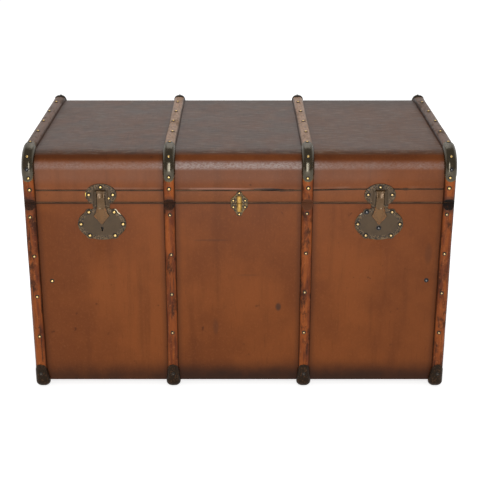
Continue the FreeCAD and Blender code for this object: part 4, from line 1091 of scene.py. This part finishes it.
brass_nail = nail_metal("nail_brass", (236, 204, 136), (160, 124, 62), (26, 19, 12))
dull_nail = nail_metal("nail_dull", (204, 176, 126), (122, 94, 54), (24, 17, 11))
dark_nail = nail_metal("nail_steel", (84, 76, 66), (56, 49, 41), (22, 19, 17))
black_nail = nail_metal("nail_black", (110, 108, 108), (34, 32, 30), (9, 8, 8))
nail_profile = np.array([(1.0, -0.25), (1.0, 0.03), (0.92, 0.08), (0.7, 0.07), (0.63, 0.2), (0.5, 0.34),
                         (0.3, 0.43), (0.1, 0.46)])
slat_nail, hoop_nail, front_cap_nail, cap_nail, foot_nail = 0.0044, 0.005, 0.0046, 0.0044, 0.0038
lock_nail, hasp_nail, spare_nail, dowel_nail = 0.0056, 0.0054, 0.004, 0.0038
hinge_nail, handle_nail = 0.0036, 0.0042
outwards, backwards, upwards = (0.0, -1.0, 0.0), (0.0, 1.0, 0.0), (0.0, 0.0, 1.0)
crown_out, cap_out = slat_thickness - 0.0002, slat_thickness + cap_grow
hand = np.random.default_rng(11)


def wandering(spread):
    """Small slips of four nails driven by hand."""
    return hand.uniform(-spread, spread, 4)


def on_bend(x, side, angle):
    """Place and way out of a nail in a cap, at an angle round the lid's front or back bend."""
    way = np.array((0.0, side * math.cos(angle), math.sin(angle)))
    return (x, side * (back - bend_radius), bend_level) + (bend_radius + cap_out) * way, way


def on_plate(x, spots):
    """Places of nails on a front plate, from its middle line and the seam."""
    return [(x + u, front - fitting_sheet, seam + v) for u, v in spots]


front_nails = [[(-0.0003, 0.4095), (0.0032, 0.3192), (0.0034, 0.2238), (0.0026, 0.1273)],
               [(0.0009, 0.4142), (0.0017, 0.3230), (0.0011, 0.2293), (0.0007, 0.1363)],
               [(-0.0007, 0.4179), (-0.0011, 0.3264), (-0.0018, 0.2343), (-0.0018, 0.1372)],
               [(-0.0034, 0.4156), (-0.0027, 0.3250), (-0.0029, 0.2325), (-0.0027, 0.1364)]]
rail_nails = [(0.0025, 0.4707), (0.0001, 0.4728), (0.0009, 0.4748), (-0.0021, 0.4747)]
cap_nails = [(0.0019, 0.4971), (0.0004, 0.4996), (-0.0009, 0.4971), (-0.0019, 0.4981)]
back_levels = np.array([0.414, 0.321, 0.227, 0.131])
top_rows, cap_top_row, foot_nail_level = np.array([-0.1136, -0.0279, 0.0578, 0.1435]), 0.1993, 0.034
cap_bends, low_bend = {-1.0: math.radians(40.0), 1.0: math.radians(68.0)}, math.radians(10.0)
back_places, hoop_places, hoop_nail_ways = [], [], []
cap_heads = {-1.0: [], 1.0: []}
for number, x in enumerate(slat_places):
    front_places = [(x + u, front - crown_out, z) for u, z in front_nails[number]]
    nail_heads("front_slat_nails_%d" % (number + 1), front_places, outwards, slat_nail,
               dull_nail if number else brass_nail, "brass", "box")
    slips = wandering(0.002)
    back_places += [(x + u, back + crown_out, z) for u, z in zip(slips, back_levels + wandering(0.004))]
    rows = top_rows + wandering(0.003)
    hoop_places += [(x + u, row, lid_top + crown_out) for u, row in zip(wandering(0.002), rows)]
    hoop_nail_ways += [upwards] * 4
    for side, bend in cap_bends.items():
        hoop_places.append((x + rail_nails[number][0], side * (back + crown_out), rail_nails[number][1]))
        hoop_nail_ways.append((0.0, side, 0.0))
        cap_place = (x + cap_nails[number][0], side * (back + cap_out), cap_nails[number][1])
        cap_heads[side] += [(cap_place, (0.0, side, 0.0)), on_bend(x, side, bend),
                            ((x, side * cap_top_row, lid_top + cap_out), upwards)]
nail_heads("back_slat_nails", back_places, backwards, slat_nail, dull_nail, "brass", "box")
nail_heads("hoop_nails", hoop_places, hoop_nail_ways, hoop_nail, brass_nail, "brass", "lid")
nail_heads("front_cap_nails", *zip(*cap_heads[-1.0]), front_cap_nail, brass_nail, "brass", "lid")
nail_heads("back_cap_nails", *zip(*cap_heads[1.0]), cap_nail, black_nail, "black_steel", "lid")
outer_heads = [on_bend(x, -1.0, low_bend) for x in (slat_places[0], slat_places[3])]
nail_heads("outer_cap_nails", *zip(*outer_heads), cap_nail, black_nail, "black_steel", "lid")
foot_nail_ways = [(0.0, side, 0.0) for x in slat_places for side in (-1.0, 1.0)]
foot_places = [(x, side * (back + cap_out), foot_nail_level) for x in slat_places for side in (-1.0, 1.0)]
nail_heads("foot_cap_nails", foot_places, foot_nail_ways, foot_nail, dark_nail, "black_steel", "box")
lock_side_spots = [(0.027, -0.0205), (0.045, -0.048), (0.027, -0.074)]
lock_spots = [(side * u, v) for side in (-1, 1) for u, v in lock_side_spots]
hasp_spots = [(0.0, 0.0355), (-0.0255, 0.0185), (0.0255, 0.0185)]
for side, x, finish in zip(("left", "right"), lock_places, (brass_nail, dull_nail)):
    lock_nails = on_plate(x, lock_spots)
    if side == "right":
        nail_heads("lock_plate_stub", lock_nails[:1], outwards, lock_nail, black_nail, "iron", "box")
        lock_nails = lock_nails[1:]
    nail_heads(side + "_lock_nails", lock_nails, outwards, lock_nail, finish, "brass", "box")
    nail_heads(side + "_hasp_nails", on_plate(x, hasp_spots), outwards, hasp_nail, finish, "brass", "lid")
nail_heads("hasp_spare_nail", on_plate(lock_places[0], [(0.0165, 0.0105)]), outwards, spare_nail, brass_nail,
           "brass", "lid")
nail_heads("keyhole_dome", on_plate(lock_places[1], [(0.0, keyhole_level)]), outwards, lock_nail, black_nail,
           "iron", "box", "keyhole_plug")
for half, body, spots in (("upper", "lid", [(0.0, 0.0222), (-0.0125, 0.0056), (0.0125, 0.0056)]),
                          ("lower", "box", [(0.0, -0.0255), (-0.0125, -0.0092), (0.0125, -0.0092)])):
    nail_heads("dowel_%s_nails" % half, on_plate(0.0, spots), outwards, dowel_nail, brass_nail, "brass",
               body)
for side, place, radius, finish, slot_name in (
        ("left", (-0.409, front, 0.2565), 0.005, brass_nail, "brass"),
        ("right", (0.409, front, 0.2578), 0.0052, black_nail, "black_steel")):
    nail_heads("panel_nail_" + side, [place], outwards, radius, finish, slot_name, "box")
bay_places = [(slat_places[0] + slat_places[1]) / 2, (slat_places[2] + slat_places[3]) / 2]
hinge_spots = [(-0.019, 0.02), (0.019, 0.02), (0.0, 0.038)]
for half, body, flip in (("upper", "lid", 1.0), ("lower", "box", -1.0)):
    places = [(x + u, back + fitting_sheet, seam + flip * v) for x in bay_places for u, v in hinge_spots]
    nail_heads("hinge_%s_nails" % half, places, backwards, hinge_nail, dark_nail, "iron", body)
handle_level = seam - 0.130
handle_spots = [(y, handle_level + v) for y in (-0.095, 0.095) for v in (-0.021, 0.021)]
for side, flip in (("left", -1.0), ("right", 1.0)):
    places = [(flip * (end + fitting_sheet), y, z) for y, z in handle_spots]
    nail_heads(side + "_handle_nails", places, (flip, 0.0, 0.0), handle_nail, dark_nail, "iron", "box")

# Stage: a pale floor that runs on to a white background, soft light from above and in front, and a camera
# in front of the trunk, a little above it.

floor_half, floor_glow = 12.0, 0.72
floor_mesh = bpy.data.meshes.new("floor")
floor_mesh.from_pydata([(-floor_half, -floor_half, 0.0), (floor_half, -floor_half, 0.0),
                        (floor_half, floor_half, 0.0), (-floor_half, floor_half, 0.0)], [], [(0, 1, 2, 3)])
floor = bpy.data.objects.new("floor", floor_mesh)
bpy.context.scene.collection.objects.link(floor)
floor_finish, place = new_finish("floor_white")
paths = ["Is Camera Ray", "Is Glossy Ray", "Is Transmission Ray"]
camera_ray, glossy_ray, through_ray = [place.node("LightPath", {}, {}, path) for path in paths]
glow = camera_ray.math("MAXIMUM", glossy_ray).math("MAXIMUM", through_ray)
glow = glow.mix((0.0, 0.0, 0.0, 1.0), (floor_glow, floor_glow, floor_glow, 1.0))
floor_mesh.materials.append(apply_finish(floor_finish, Base_Color=(0.9, 0.9, 0.9, 1.0), Roughness=1.0,
                                         Specular_IOR_Level=0.0, Emission_Color=glow, Emission_Strength=1.0))

world = bpy.data.worlds.new("studio")
bpy.context.scene.world = world
world.use_nodes = True
backdrop = world.node_tree.nodes["Background"]
backdrop.inputs["Color"].default_value = (1.0, 1.0, 1.0, 1.0)
places = world.node_tree.nodes.new("ShaderNodeTexCoord")
behind, height = Shade(world.node_tree, places.outputs["Generated"]).parts()[1:]
camera_ray, glossy_ray, through_ray = [height.node("LightPath", {}, {}, path) for path in paths]
seen = camera_ray.math("MAXIMUM", through_ray)
reflected = glossy_ray * height.rise(0.85, 0.45) * behind.rise(-0.3, 0.2)
strength = 0.35 + 0.65 * seen.math("MAXIMUM", reflected)
world.node_tree.links.new(strength.socket, backdrop.inputs["Strength"])


def soft_box(name, place, aim, wide, tall, power):
    """A flat lamp at a place, turned to its aim."""
    lamp = bpy.data.lights.new(name, "AREA")
    lamp.shape = "RECTANGLE"
    lamp.size = wide
    lamp.size_y = tall
    lamp.energy = power
    box = bpy.data.objects.new(name, lamp)
    box.location = place
    away = np.array(aim) - np.array(place)
    flat = math.hypot(away[0], away[1])
    box.rotation_euler = (math.atan2(flat, -away[2]), 0.0, math.atan2(away[1], away[0]) - math.pi / 2)
    bpy.context.scene.collection.objects.link(box)


soft_box("front_light", (-0.05, -3.3, 1.2), (0.0, -0.2, 0.45), 0.8, 2.2, 48.0)
soft_box("top_light", (0.0, 1.5, 2.6), (0.0, 0.0, 0.5), 2.0, 1.6, 22.0)

bpy.context.scene.view_settings.view_transform = "Standard"
camera_data = bpy.data.cameras.new("camera")
camera = bpy.data.objects.new("camera", camera_data)
bpy.context.scene.collection.objects.link(camera)
bpy.context.scene.camera = camera
picture_width = 480.0
focal_pixels = 1083.29
middle_pixel, middle_row = 239.25, 204.33
camera_data.sensor_width = 36.0
camera_data.lens = camera_data.sensor_width * focal_pixels / picture_width
camera_data.shift_x = (picture_width / 2 - middle_pixel) / picture_width
camera_data.shift_y = (middle_row - picture_width / 2) / picture_width
camera_tilt = 19.882
camera.location = (0.0, -2.41268, 1.21934)
camera.rotation_euler = (math.radians(90.0 - camera_tilt), 0.0, 0.0)
